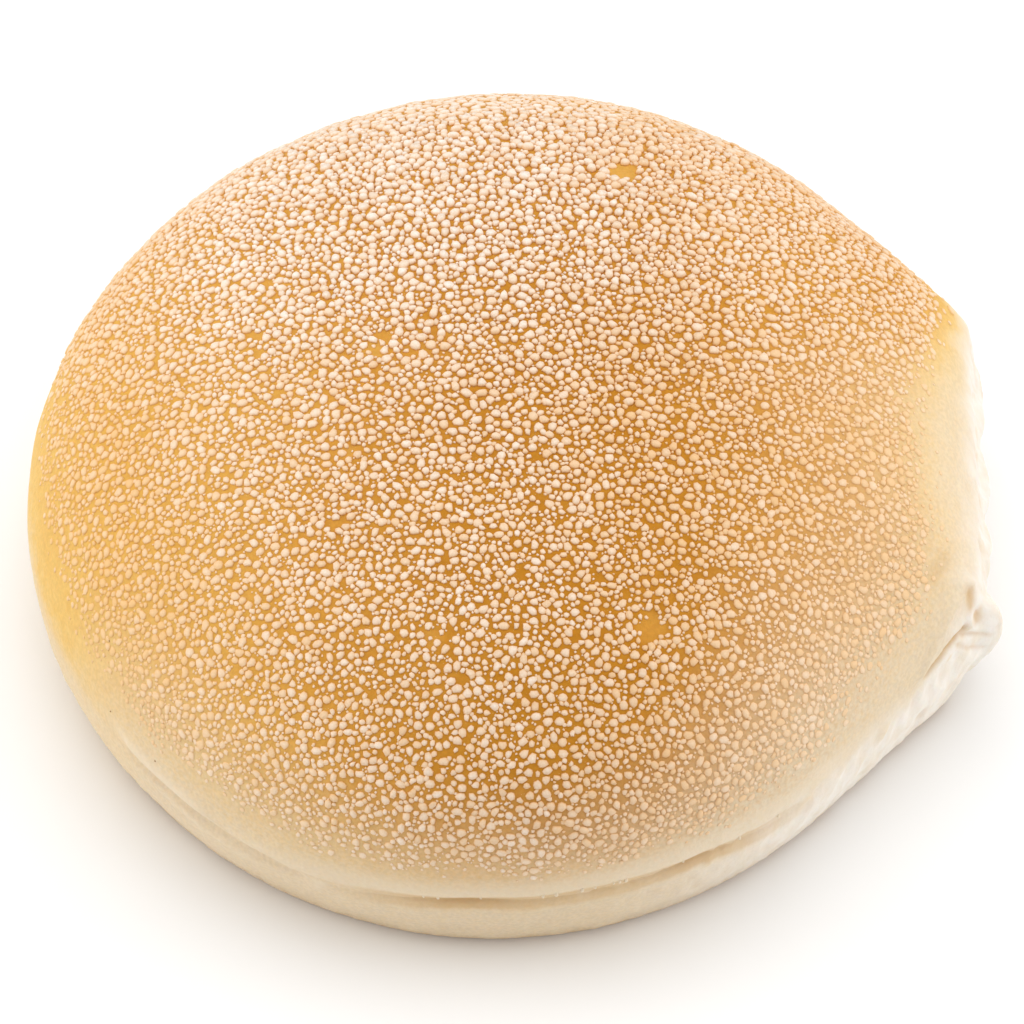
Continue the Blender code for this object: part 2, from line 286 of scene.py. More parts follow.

# Folds of the torn side, as runs of points in mm, with half width, height (less than 0 for a crease),
# and how much tan painted shade the fold gets
TORN_FOLDS = (
    (((52.1, -18.6, 23.5), (50.3, -21.9, 22.8), (48.4, -24.8, 21.0), (47.0, -26.9, 17.9)), 0.7, 0.30, 0.0),
    (((52.0, -21.6, 19.0), (49.7, -23.8, 18.6), (48.5, -25.1, 17.6), (47.5, -26.3, 17.1)), 0.5, -0.50, 1.0),
    (((50.8, -22.5, 19.0), (52.8, -20.8, 17.2), (55.1, -18.8, 14.1)), 0.3, -0.24, 0.4),
    (((51.1, -22.6, 17.6), (52.7, -20.9, 14.5), (54.7, -18.9, 11.8)), 0.3, -0.2, 0.35),
    (((52.2, -19.3, 22.8), (52.4, -19.8, 21.1)), 0.8, -0.3, 0.8),
    (((52.6, -18.2, 23.1), (52.2, -20.3, 20.7), (52.5, -20.9, 18.5)), 0.35, 0.4, 0.0),
    (((53.4, -19.7, 19.4), (53.6, -20.0, 18.4)), 0.6, -0.2, 0.7),
    # A broad shallow dent with a painted shadow on it
    (((49.4, -18.0, 27.2), (47.9, -20.7, 27.1)), 1.1, -0.2, 0.35),
    (((47.2, -25.3, 8.6), (47.3, -25.2, 7.4)), 0.9, -0.3, 0.3),
    (((53.6, -11.6, 22.0), (54.2, -13.0, 19.0)), 0.35, -0.2, 0.3),
    (((53.4, -3.5, 22.9), (54.0, -5.5, 19.5)), 0.35, -0.2, 0.25),
    (((53.3, 3.2, 23.4), (53.9, 1.6, 20.0)), 0.35, -0.2, 0.25),
    (((54.4, 16.7, 19.6), (54.6, 13.1, 19.3)), 0.35, -0.2, 0.25),
)

# Soft folds low on the left, in line with the crease: direction and height of each end in mm,
# half width, and how far it stands out (or goes in)
LEFT_FOLDS = (
    (-144.0, 16.8, -124.0, 14.2, 0.95, 0.55),
    (-124.0, 14.2, -104.0, 12.6, 0.95, 0.35),
    (-146.0, 14.2, -110.0, 10.6, 0.7, -0.55),
    (-134.0, 11.4, -118.0, 9.4, 0.7, 0.3),
)
LEFT_FOLD_ENDS = (0.3, 0.75)

# Crests of the folds on the left and under the lip, pale skin with a painted highlight: height of the
# palest, and how pale it is
LEFT_RIDGE = 0.6 * MM
LEFT_PALE = 0.75
FOLD_CREST = 0.18 * MM
FOLD_PALE = 0.8

# Flour: name, half widths, sides, rings, tries, most grains, nearest share, height, all in mm
FLOUR_KINDS = (
    ("coarse_flour", (0.38, 0.51), 8, 3, 30000, 4100, 0.86, 0.22),
    ("medium_flour", (0.29, 0.37), 7, 3, 45000, 4800, 0.87, 0.19),
    ("small_flour", (0.22, 0.29), 7, 3, 60000, 2900, 0.88, 0.15),
    ("fine_flour", (0.13, 0.20), 5, 2, 40000, 3600, 0.93, 0.09),
)

# Rings of a grain from the foot up, by their number: width share, height share (less than 0 is sunk
# into the crust), and how much of the crust the flour covers there
GRAIN_RINGS = {
    3: ((1.06, -1.0, 0.1), (1.0, 0.3, 0.44), (0.74, 0.88, 0.84)),
    2: ((1.06, -1.0, 0.1), (0.85, 0.8, 0.74)),
}

# What a grain takes over from the crust below it
CRUST_MARKS = ("bake", "bloom", "flour", "white")

# How the grains settle: gaps between them, how many touch, how the layer grows to the back, and
# where it is flatter or thinner
FLOUR_GAP = (0.07 * MM, 0.20 * MM)
FLOUR_TOUCHING = 0.4
FLOUR_CLOSER = 0.5
RICH_PLACES = (-46.0 * MM, 42.0 * MM)
RICH_TALLER = 1.5
RICH_WIDER = (0.95, 0.24)
RIM_PLACES = (36.0 * MM, 46.0 * MM)
RIM_FLATTER = 0.6
FLANK_FLATTER = 0.38
FLANK_PLACES = (14.0 * MM, 38.0 * MM)
THIN_FLANKS = (26.0 * MM, 46.0 * MM)
THIN_FRONT = (-50.0 * MM, -24.0 * MM)
THINNER = 0.16

# Width of a grain: its share where the flour is thin and what it gains where it is thick, how much it
# swells in patches, and the holes between the grains
REACH_BY_THICKNESS = (0.84, 0.16)
PATCH_SIZE = 6 * MM
PATCH_SWELL = 0.15
OUTLINE_SHARE = 1.14
ORDER_LOOSE = 0.12 * MM
HOLE_SIZE = 1.5 * MM
HOLE_CUT = -0.56
CELL = 1.6 * MM

# The finest flour: half widths and height in mm, how many flakes, and how well they cover the crust
DUST_HALF = (0.05, 0.09)
DUST_COUNT = 12000
DUST_SIDES = 4
DUST_HEIGHT = 0.04
DUST_FOOT_COVER = 0.6
DUST_COVER = (0.35, 0.3)

# Form of each grain: its height (and by the thickness, as its width), its dimple, how uneven its
# outline is, and how it is pressed against its neighbours
FLOUR_SUNK = 0.12 * MM
TALLNESS = (0.7, 1.25)
TALL_BY_THICKNESS = (0.6, 0.4)
DIMPLE_SHARE = 0.4
DIMPLE_HEIGHT = 0.6
CENTRE_HEIGHT = 1.05
TURN_LOOSE = 0.15
OUTLINE_WAVES = ((2, 0.03, 0.28), (3, 0.0, 0.15))
OUTLINE_LOOSE = 0.06
PRESS_REACH = 2.6
PRESS_FACING = 0.25
LEAST_OUTLINE = 0.25

# How well a grain covers the crust and what it gains by whiteness, how far cover and toast vary, the
# least flour that grains lie on, and the seed
COVER_BY_WHITENESS = (0.86, 0.14)
COVER_LOOSE = 0.08
TOAST_LOOSE = 0.25
LEAST_DENSITY = 0.03
SEED = 29

# Crumbs of torn skin that hang at the lip, by direction, and dark bran specks in the crust
LIP_CRUMBS = (-98.5, -97.0, -92.0, -85.0, -83.0, -80.2, -79.0, -76.8, -75.6, -74.8, -68.0, -60.5, -55.0)
LIP_CRUMB_HALF = (0.16 * MM, 0.34 * MM)
SPECK_PLACES = (
    (-45.7, -10.2, 29.8), (-43.1, -28.0, 24.8), (-44.5, -32.5, 18.0), (-38.0, -38.5, 17.0),
    (-49.0, 4.0, 27.0), (-30.0, -41.0, 24.0), (40.0, -30.0, 26.0), (30.0, 36.0, 29.0),
)
SPECK_HALF = 0.1 * MM
LIP_CRUMB_ROW = 7

# Form of the crumbs and specks: how stretched, uneven and finely divided they are
LIP_CRUMB_STRETCH = (0.8, 0.8, 1.25)
SPECK_STRETCH = (1.0, 1.3, 0.8)
LUMP_UNEVEN = 0.45
LUMP_BUMPS = 1.3
LUMP_RINGS = 5
LUMP_SIDES = 8

# How baked the crust is at each colour from cream to brown, and its mottle: size, detail and strength
BAKE_STOPS = (0.0, 0.12, 0.35, 0.70, 1.0)
MOTTLE = (8 * MM, 3.0, 0.16)
FINE_MOTTLE = (1.2 * MM, 4.0, 0.2)

# Patterns of the finishes and of the painted shade: size and detail of the noise, the two limits between
# which it counts, and what it gives at each of them
BLOOM_PATTERN = (0.6 * MM, 3.0, 0.3, 0.7, 0.8, 1.2)
SPECKLE_PATTERN = (0.45 * MM, 2.0, 0.35, 0.65, 0.94, 1.03)
TORN_PATTERN = (1.8 * MM, 4.0, 0.40, 0.75, 0.0, 0.55)
SHADE_PATTERN = (6 * MM, 3.0, 0.38, 0.62, 0.35, 1.0)
GROOVE_PATTERN = (2.0 * MM, 3.0, 0.5, 0.68, 0.0, 0.5)
BASE_PATTERN = (5 * MM, 5.0, 0.3, 0.75, 0.55, 1.0)
CLUMP_PATTERN = (0.22 * MM, 2.0, 0.3, 0.7, 0.75, 1.0)
CRUMB_PATTERN = (1.2 * MM, 3.0, 0.4, 0.75, 0.0, 1.0)
CRUST_ROUGHNESS = (1.0 * MM, 3.0, 0.3, 0.7, 0.5, 0.7)
FLOUR_ROUGHNESS = (0.3 * MM, 3.0, 0.3, 0.7, 0.8, 0.95)
CRUMB_ROUGHNESS = (0.3 * MM, 3.0, 0.3, 0.7, 0.75, 0.9)
TORN_STRETCH = (1.0, 1.0, 0.35)

# How flour shows over crust: cover at which it starts to warm it and to hide it, and how much it does
FLOUR_WARMS = (0.0, 0.45, 0.0, 0.6)
FLOUR_HIDES = (0.25, 0.95, 0.0, 1.0)

# Pores of the crust and powder of the flour: size and detail of the noise, depth and strength
CRUST_PORES = ((0.5 * MM, 4.0), (1.6 * MM, 3.0))
CRUST_PORE_DEPTH = (0.12 * MM, 0.7)
FLOUR_POWDER = (0.2 * MM, 3.0)
FLOUR_POWDER_DEPTH = (0.05 * MM, 0.6)

# Shader values that are the same all over
CRUST_SHADER = {
    "Specular IOR Level": 0.12,
    "Subsurface Weight": 0.15,
    "Subsurface Radius": (1.0, 0.55, 0.3),
    "Subsurface Scale": 1.2 * MM,
}
FLOUR_SHADER = {"Specular IOR Level": 0.12}
BRAN_COLOURS = ((0.30, 0.16, 0.07), (0.50, 0.30, 0.13))
BRAN_GRAIN = 0.15 * MM
BRAN_ROUGHNESS = 0.7

# Camera, floor and light
FLOOR_TONE = 0.985
FLOOR_TONE_SIZE = 0.2
FLOOR_ROUGHNESS = 0.9
SKY_COLOUR = (1.0, 1.0, 1.0)
SENSOR_WIDTH = 36.0
CLIP_START = 0.01
LOOK_HEIGHT = 18.0 * MM
FRAME_RIGHT = 1.375 * MM
FRAME_DOWN = 3.26 * MM
FLOOR_HALF = 3.0
SOFTBOX_PLACE = (-0.03, 0.15, 1.1)
SOFTBOX_WIDTH = 1.2
SIDE_LIGHT_PLACE = (0.9, 0.08, 0.22)
SIDE_LIGHT_WIDTH = 0.6


# ------------------------------------------------------------------ settings

def colour_setting(name, description, default):
    """A colour that can be picked in the panel."""
    return FloatVectorProperty(
        name=name, description=description, default=default, subtype="COLOR", size=3, min=0, max=1)


def length_setting(name, description, default):
    """A length that can be set in the panel."""
    return FloatProperty(name=name, description=description, default=default, unit="LENGTH", precision=4)


class RollForm(PropertyGroup):
    """Sizes of the roll."""

    radius: length_setting(
        "Half width", "Half width of the round before the torn side is drawn out", ROLL_RADIUS)
    height: length_setting("Height", "From the flat underside to the top of the dome", ROLL_HEIGHT)
    lip_height: length_setting("Crease height", "Height of the crease, halfway round the roll", LIP_HEIGHT)
    pocket_depth: length_setting("Crease depth", "How far the crease goes in behind the lip", POCKET_DEPTH)
    groove_depth: length_setting(
        "Torn groove depth", "How far the groove over the torn face goes in", GROOVE_DEPTH)


class CrustLook(PropertyGroup):
    """Colours of the crust, from pale to well baked, with the painted highlight and painted shade at the
    crease.
    """

    pale: colour_setting(
        "Pale crust", "Bloom of the flour low on the flanks and on the band", (0.78, 0.635, 0.45))
    cream: colour_setting("Creamy crust", "Where the crust begins to colour", (0.82, 0.60, 0.30))
    yellow: colour_setting("Yellow crust", "Bare crust of the left flank", (0.82, 0.525, 0.16))
    golden: colour_setting("Golden crust", "Flanks of the dome", (0.745, 0.405, 0.085))
    amber: colour_setting("Amber crust", "Upper flanks of the dome", (0.645, 0.298, 0.042))
    brown: colour_setting("Brown crust", "Well baked top of the dome", (0.535, 0.215, 0.012))
    # Pale lip skin with the painted highlight on the lip's edge and on the fold crests; also the crumbs'
    # own colour
    pale_lip_and_highlight: colour_setting("Lip", "Thin pale edge of the lip over the crease", (0.84, 0.71, 0.53))
    torn: colour_setting("Torn skin", "White skin of the torn side", (0.90, 0.84, 0.76))
    # Painted shade on the band just below the lip, and in the groove of the torn side
    painted_shade: colour_setting(
        "Below the lip", "Tan stretch of the band just below the crease", (0.79, 0.60, 0.36))
    # Painted shade inside the crease and in the creases of the torn side
    pocket: colour_setting("Crease", "Inside the crease and the folds of the torn side", (0.63, 0.39, 0.16))
    base: colour_setting("Base", "Baked underside and its edge", (0.55, 0.34, 0.14))


class FlourLook(PropertyGroup):
    """Colour and cover of the flour."""

    white: colour_setting("White flour", "The palest grains", (0.95, 0.87, 0.79))
    toasted: colour_setting("Toasted flour", "The most toasted grains", (0.87, 0.56, 0.28))
    size: FloatProperty(
        name="Grain size", description="Scales the half width of every grain",
        default=1.0, min=0.5, max=1.5, subtype="FACTOR")
    seed: IntProperty(
        name="Seed", description="Another seed scatters the grains another way",
        default=SEED, min=0)


class StageLook(PropertyGroup):
    """Camera, floor and light."""

    elevation: FloatProperty(
        name="Camera elevation", description="How steeply the camera looks down",
        default=math.radians(52), subtype="ANGLE")
    distance: length_setting("Camera distance", "From the camera to the middle of the roll", 0.8)
    width: length_setting("Width in view", "Width that the frame takes in at the roll", 0.11636)
    floor: colour_setting("Floor", "Colour of the plain floor", (0.96, 0.96, 0.96))
    sky: FloatProperty(
        name="Room light", description="Strength of the even light from all round",
        default=0.63, min=0)
    softbox: FloatProperty(
        name="Softbox power", description="Power of the large soft light overhead",
        default=6.5, min=0, subtype="POWER")
    side_light: FloatProperty(
        name="Side light power", description="Power of each of the two soft lights at the sides",
        default=2.55, min=0, subtype="POWER")


# ------------------------------------------------------------------ form of the roll

def smooth_step(value, low, high):
    """0 at low, 1 at high, with a soft start and end."""
    share = np.clip((value - low) / (high - low), 0.0, 1.0)
    return share * share * (3 - 2 * share)


def fade_out(value, low, high):
    """1 at low, 0 at high, with a soft start and end."""
    return 1 - smooth_step(value, low, high)


def gained(amounts, share):
    """The first amount, with a share of the second added."""
    least, gain = amounts
    return least + gain * share


def bell(off):
    """1 in the middle, falling to 0 on both sides."""
    return np.exp(-off * off)


def turn_between(angle, other):
    """The smallest turn from one direction to another, from -pi to pi."""
    return (angle - other + math.pi) % (2 * math.pi) - math.pi


def round_bump(angle, middle, spread):
    """1 in one direction, falling to 0 away from it."""
    return bell(turn_between(angle, middle) / spread)


def direction_of(points):
    """Direction of each point round the roll."""
    return np.arctan2(points[:, 1], points[:, 0])


def lip_height_at(angle):
    """Height of the lip in a direction: lower on the left than on the right."""
    return LIP_HEIGHT + LIP_TILT * np.cos(angle)


def roundness(angle):
    """The roll's half width as a share of a true round: a little oval and a little squared."""
    return 1 + OVAL_SHARE * math.cos(2 * (angle - OVAL_ANGLE)) + SQUARE_SHARE * math.cos(4 * angle)


def plain_radius(form, angle):
    """The roll's half width before its torn side is drawn out."""
    return form.radius * roundness(angle)


def tangent_chord(form, corner, side):
    """Direction and distance of the straight flank from a torn corner to the round."""
    corner_angle = math.atan2(corner.y, corner.x)
    direction = corner_angle + side * math.acos(form.radius / corner.length)
    return direction, plain_radius(form, direction)


def torn_chord():
    """Direction and distance of the torn face itself."""
    along = TORN_BACK - TORN_FRONT
    outward = Vector((along.y, -along.x)).normalized()
    return math.atan2(outward.y, outward.x), outward.dot(TORN_BACK)


def torn_chords(form):
    """The torn face between its two straight flanks, from back to front."""
    return tangent_chord(form, TORN_BACK, 1), torn_chord(), tangent_chord(form, TORN_FRONT, -1)


def outline_radius(form, chords, angle, softness):
    """The half width with the two flanks and the torn face, their corners rounded."""
    plain = plain_radius(form, angle)
    if turn_between(angle, chords[0][0]) > 0 or turn_between(angle, chords[-1][0]) < 0:
        return plain
    distances = [
        distance / math.cos(turn_between(angle, direction))
        for direction, distance in chords
        if abs(turn_between(angle, direction)) < FLANK_HALF_SPREAD
    ]
    nearest = min(distances)
    total = sum(math.exp((nearest - distance) / softness) for distance in distances)
    return max(plain, nearest - softness * math.log(total))


def dome_reach(form, height, widest_height):
    """The dome's half width at a height, as a share of its widest."""
    rise = max(height - widest_height, 0.0) / (form.height - widest_height)
    return max(1 - rise ** DOME_POWER, 0.0) ** (1 / DOME_POWER)


def drawn_out(form, chords, angle, height, widest_height):
    """How far the torn side stands out past the round: less, and softer, higher up."""
    share = dome_reach(form, height, widest_height) ** NECK_POWER
    softness = TORN_CORNER_SOFT + TORN_CORNER_SPREAD * (1 - share)
    return share * (outline_radius(form, chords, angle, softness) - plain_radius(form, angle))


def crease_share(angle):
    """How deep the crease is: deepest in two stretches of the front, hardly any at the back."""
    off_front = abs(turn_between(angle, CREASE_FRONT))
    fade = smooth_step(off_front, CREASE_FRONT_HALF - CREASE_FADE, CREASE_FRONT_HALF + CREASE_FADE)
    torn_back = math.atan2(TORN_BACK.y, TORN_BACK.x)
    torn_front = math.atan2(TORN_FRONT.y, TORN_FRONT.x)
    off_torn = abs(turn_between(angle, 0.5 * (torn_back + torn_front)))
    crease_end = 0.5 * (torn_back - torn_front) + CREASE_END
    beside_torn = smooth_step(off_torn, crease_end, crease_end + CREASE_END_FADE)
    deeper = max(round_bump(angle, *stretch) for stretch in CREASE_DEEPER)
    full = CREASE_FAINT + (CREASE_MOST - CREASE_FAINT) * deeper
    return (full - (full - CREASE_LEAST) * fade) * beside_torn


def dome_section(form, angle, widest_height):
    """Points from just off the top to the widest round, as radius and height."""
    rise = form.height - widest_height
    points = []
    for row in range(1, DOME_ROWS + 1):
        turn = 0.5 * math.pi * (1 - (1 - row / DOME_ROWS) ** DOME_GATHER)
        reach = math.sin(turn) ** (2 / DOME_POWER)
        height = widest_height + rise * max(math.cos(turn), 0.0) ** (2 / DOME_POWER)
        points.append((plain_radius(form, angle) * reach, height))
    return points


def arc(centre, radius, start, end, steps):
    """Points of an arc after its start, as offset and height."""
    points = []
    for step in range(1, steps + 1):
        turn = start + (end - start) * step / steps
        points.append((centre[0] + radius * math.cos(turn), centre[1] + radius * math.sin(turn)))
    return points


def creased_flank(form, widest_height, drop):
    """Lip, pocket and shoulder where the crease is at its deepest."""
    points = [
        (offset, widest_height + height * drop / LIP_ROUND)
        for offset, height in arc((-LIP_ROUND, 0.0), LIP_ROUND, 0, -LIP_TURN, LIP_ROWS)
    ]
    lip_end = points[-1]
    inward = Vector((-math.cos(POCKET_RISE), math.sin(POCKET_RISE)))
    pocket_end = Vector(lip_end) + inward * form.pocket_depth
    points.append(tuple(pocket_end))
    points.append((pocket_end.x, pocket_end.y - POCKET_GAP))
    shoulder_top = widest_height - drop - POCKET_GAP
    centre = (-BAND_INSET - SHOULDER_ROUND, shoulder_top - SHOULDER_ROUND)
    points.append((centre[0], shoulder_top))
    points += arc(centre, SHOULDER_ROUND, 0.5 * math.pi, 0, SHOULDER_ROWS)
    return points


def band(shoulder_height):
    """The pale band from the shoulder down to the rounded lower edge."""
    points = []
    for row in range(1, BAND_ROWS + 1):
        share = row / BAND_ROWS
        bulge = BAND_BULGE * math.sin(math.pi * share)
        offset = -BAND_INSET + (BAND_INSET - BASE_INSET) * share + bulge
        points.append((offset, shoulder_height + (BASE_ROUND - shoulder_height) * share))
    return points


def plain_side(widest_height, count):
    """The same stretch with no crease: the side simply draws in to the lower edge."""
    points = []
    for step in range(1, count + 1):
        share = step / count
        height = widest_height + (BASE_ROUND - widest_height) * share
        points.append((-BASE_INSET * share * share, height))
    return points


def section(form, chords, angle):
    """All points of the roll's section in one direction, from the top to the underside."""
    widest_height = WIDEST_HEIGHT + WIDEST_TILT * math.cos(angle)
    rim = Vector((math.cos(angle), math.sin(angle), 0.0)) * form.radius
    lip_height = form.lip_height + LIP_TILT * rim.x / form.radius
    lip_height += LIP_WAVE * noise.noise(rim / LIP_WAVE_SIZE)
    drop = max((widest_height - lip_height) / LIP_EDGE_SHARE, LIP_LEAST_DROP)
    radius = plain_radius(form, angle)
    crease = float(crease_share(angle))
    deep = creased_flank(form, widest_height, drop)
    deep += band(deep[-1][1])
    plain = plain_side(widest_height, len(deep))
    side = [
        (low[0] + (high[0] - low[0]) * crease, low[1] + (high[1] - low[1]) * crease)
        for low, high in zip(plain, deep)
    ]
    side += arc((-BASE_INSET - BASE_ROUND, BASE_ROUND), BASE_ROUND, 0, -0.5 * math.pi, BASE_ROWS)
    points = dome_section(form, angle, widest_height)
    points += [(radius + offset, height) for offset, height in side]
    points = [
        (reach + drawn_out(form, chords, angle, height, widest_height), height)
        for reach, height in points
    ]
    rim = points[-1][0]
    for row in range(1, UNDERSIDE_ROWS + 1):
        points.append((rim * (1 - row / (UNDERSIDE_ROWS + 1)), 0.0))
    return points


def noise_at(points, size, cut=0.0):
    """Smooth noise from -1 to 1 at each point, its bumps as wide as size; cut picks another part of it."""
    places = points / np.asarray(size) + cut
    return np.array([noise.noise(place) for place in places.tolist()])


def torn_relief(points):
    """How far the torn skin's lobes stand out at each point, less the folds pressed into them."""
    x, y, z = points.T
    low_side = smooth_step(y, TORN_FRONT.y, TORN_FRONT.y + TORN_EDGE)
    high_side = fade_out(y, TORN_BACK.y - TORN_EDGE, TORN_BACK.y)
    outer = smooth_step(x, TORN_BACK.x - 2 * TORN_EDGE, TORN_BACK.x - TORN_EDGE)
    top = fade_out(z, TORN_TOP - TORN_BRIM, TORN_TOP + TORN_BRIM)
    foot = smooth_step(z, 0.0, TORN_EDGE)
    fold_places = np.stack([y / FOLD_WIDTH, z / FOLD_HEIGHT, np.full_like(y, FOLD_CUT)], 1)
    relief = -FOLD_DEPTH * np.abs(noise_at(fold_places, 1.0))
    for middle, half_width, proud in TORN_LOBES:
        across = (y - middle - LOBE_LEAN * (z - LOBE_MIDDLE)) / half_width
        relief += proud * np.maximum(0.0, 1 - across * across)
    return low_side * high_side * outer * top * foot * relief


def groove_share(points, half_width=GROOVE_HALF):
    """1 at the bottom of the groove under the dome's edge at the torn side, 0 away from it."""
    angle = direction_of(points)
    rise = fade_out(np.abs(angle), GROOVE_FULL, GROOVE_START)
    crease_height = lip_height_at(angle)
    height = crease_height + (GROOVE_HEIGHT - crease_height) * rise
    fade = fade_out(np.abs(angle), GROOVE_START, GROOVE_START + GROOVE_FADE)
    return fade * bell((points[:, 2] - height) / half_width)


def placed(form, points):
    """The points with the roll's unevenness, torn lobes and groove."""
    lift = smooth_step(points[:, 2], 0.0, LIP_HEIGHT)
    swell = SWELL_DEPTH * lift * noise_at(points, SWELL_SIZE)
    outward = points - np.array((0, 0, LIP_HEIGHT))
    outward /= np.linalg.norm(outward, axis=1)[:, None]
    moved = points + outward * swell[:, None]
    moved[:, 0] += torn_relief(moved) - form.groove_depth * groove_share(moved)
    return moved


def column_angle(column):
    """Directions gather towards the torn side, which has the finest relief."""
    turn = 2 * math.pi * column / COLUMNS
    return turn - COLUMN_GATHER * math.sin(turn)


def crust_grid(form):
    """Points of every section with the two poles last, and the number of rows."""
    chords = torn_chords(form)
    points = []
    for column in range(COLUMNS):
        angle = column_angle(column)
        points += [
            (reach * math.cos(angle), reach * math.sin(angle), height)
            for reach, height in section(form, chords, angle)
        ]
    rows = len(points) // COLUMNS
    points += [(0.0, 0.0, form.height), (0.0, 0.0, 0.0)]
    return placed(form, np.array(points)), rows


def grid_faces(rows):
    """Quads between the sections and a fan of triangles round each pole."""
    top = COLUMNS * rows
    bottom = top + 1
    faces = []
    for column in range(COLUMNS):
        here = column * rows
        beside = (column + 1) % COLUMNS * rows
        faces.append((top, here, beside))
        faces += [
            (here + row, here + row + 1, beside + row + 1, beside + row)
            for row in range(rows - 1)
        ]
        faces.append((here + rows - 1, bottom, beside + rows - 1))
    return faces


# ------------------------------------------------------------------ where the crust bakes and is floured

def by_side(angle, amounts, left_spread=LEFT_SPREAD):
    """An amount at the front, with what is added at the torn side and at the left flank."""
    front, torn, left = amounts
    torn_share = round_bump(angle, TORN_MIDDLE, TORN_SPREAD)
    left_share = round_bump(angle, LEFT_MIDDLE, left_spread)
    return front + torn * torn_share + left * left_share


def near_spots(points):
    """How near each point is to a bare spot: 1 in its middle, times how bare the spot is."""
    nearest = np.zeros(len(points))
    ragged = SPOT_RAGGED * noise_at(points, SPOT_RAGGED_SIZE, 9.0)
    for place, half_width, share in BARE_SPOTS:
        off = np.hypot(points[:, 0] - place.x, points[:, 1] - place.y) + ragged
        spot = share * fade_out(off, SPOT_EDGE[0] * half_width, SPOT_EDGE[1] * half_width)
        nearest = np.maximum(nearest, spot * (points[:, 2] > FLOUR_EDGE[0]))
    return nearest


def flour_density(points, spots):
    """How thick the flour lies: 1 on the dome, stray grains below its edge, 0 on the band."""
    angle = direction_of(points)
    height = points[:, 2] + FLOUR_WANDER * noise_at(points, FLOUR_WANDER_SIZE, 5.0)
    edge, fade = by_side(angle, FLOUR_EDGE), by_side(angle, FLOUR_FADE)
    density = smooth_step(height, edge - fade, edge + fade)
    stray = FLOUR_STRAY * smooth_step(height, edge - FLOUR_STRAY_DEPTH, edge)
    density = np.maximum(density, stray)
    density *= smooth_step(points[:, 2], WIDEST_HEIGHT, WIDEST_HEIGHT + FLOUR_RISE)
    return density * (1 - spots)


def flour_whiteness(points):
    """How white the grains are."""
    x, y, z = points.T
    back = WHITE_BACK * smooth_step(y, *WHITE_BACK_PLACES)
    low = WHITE_LOW * fade_out(y, *WHITE_LOW_PLACES)
    right = CREAMY_RIGHT * smooth_step(x, *CREAMY_RIGHT_PLACES)
    left = CREAMY_LEFT * round_bump(np.arctan2(y, x), CREAMY_MIDDLE, CREAMY_SPREAD)
    left = left * fade_out(z, *CREAMY_HEIGHTS)
    edge = CREAMY_EDGE * fade_out(x, *CREAMY_EDGE_PLACES)
    return WHITE_FRONT + back + low - right - left - edge


def beige_bloom(points):
    """Beige bloom: low on the front and right flanks, and all round on the band."""
    angle = direction_of(points)
    height = points[:, 2]
    edge = by_side(angle, FLOUR_EDGE) + BLOOM_RIGHT * round_bump(angle, RIGHT_MIDDLE, RIGHT_SPREAD)
    off_front = np.abs(turn_between(angle, FRONT_MIDDLE))
    front = fade_out(off_front, FRONT_HALF, FRONT_END)
    low = BLOOM_MOST * smooth_step(edge - height, -BLOOM_ABOVE, BLOOM_BELOW)
    return np.maximum(low * front, BAND_BLOOM * fade_out(height, *BAND_TOP))


def lip_stripe(points):
    """Pale stripe of crust that runs along the front over the lip."""
    angle = direction_of(points)
    above = points[:, 2] - lip_height_at(angle)
    off_front = np.abs(turn_between(angle, CREASE_FRONT))
    front = fade_out(off_front, CREASE_FRONT_HALF, 2 * CREASE_FRONT_HALF)
    stripe = smooth_step(above, -LIP_STRIPE_ENDS[0], 0) * fade_out(above, *LIP_STRIPE_ENDS)
    return LIP_STRIPE * front * stripe


def crease_marks(rows):
    """Painted highlight of the lip's edge, and painted shade in the pocket and just below the lip, by each
    point's row and how deep the crease is there.
    """
    row = np.append(np.tile(np.arange(rows), COLUMNS), (0, rows - 1))
    columns = np.array([float(crease_share(column_angle(column))) for column in range(COLUMNS)])
    crease = np.append(np.repeat(columns, rows), (0, 0))
    shoulder = DOME_ROWS + LIP_ROWS + SHOULDER_ROWS + POCKET_ROWS
    pale_lip_and_highlight = bell((row - DOME_ROWS - LIP_MARK_ROW) / LIP_MARK_HALF)
    pocket = smooth_step(row, *POCKET_MARK_ROWS)
    painted_shade = pocket * fade_out(row, shoulder - 1, shoulder + SHADE_ROWS)
    pocket = pocket * fade_out(row, shoulder - POCKET_ROWS, shoulder + 1)
    return pale_lip_and_highlight * crease, pocket * crease, painted_shade * crease


def pale_and_highlit_crests(points):
    """Crests of the folds on the left and under the lip, pale skin with a painted highlight, and the pale
    stripe over the lip.
    """
    left = LEFT_PALE * np.clip(left_folds(points) / LEFT_RIDGE, 0, 1)
    upright = FOLD_PALE * np.clip(band_relief(points, 0.0) / FOLD_CREST, 0, 1)
    return np.maximum.reduce((left, upright, lip_stripe(points)))


def torn_skin(points):
    """The white skin of the torn side, with its ragged end above and round the flanks."""
    ragged = points[:, 2] + TORN_RAGGED * noise_at(points, TORN_RAGGED_SIZE, 4.0)
    off_torn = np.abs(turn_between(direction_of(points), 0.0))
    ragged += TORN_DROP * smooth_step(off_torn, *TORN_DROP_TURN)
    return fade_out(ragged, *TORN_FADE) * fade_out(off_torn, *TORN_END_TURN)


def how_baked(points, spots):
    """How well baked the crust is: most at one place of the dome, less low down and in bare spots."""
    angle = direction_of(points)
    low, high = (by_side(angle, heights, BAKE_LEFT_SPREAD) for heights in (BAKE_LOW, BAKE_HIGH))
    off_hot = np.hypot(points[:, 0] - HOT_PLACE.x, HOT_LONGER * (points[:, 1] - HOT_PLACE.y))
    bake = smooth_step(points[:, 2], low, high) * (1 - HOT_PALER * smooth_step(off_hot, *HOT_FADE))
    return bake - SPOT_PALER * spots


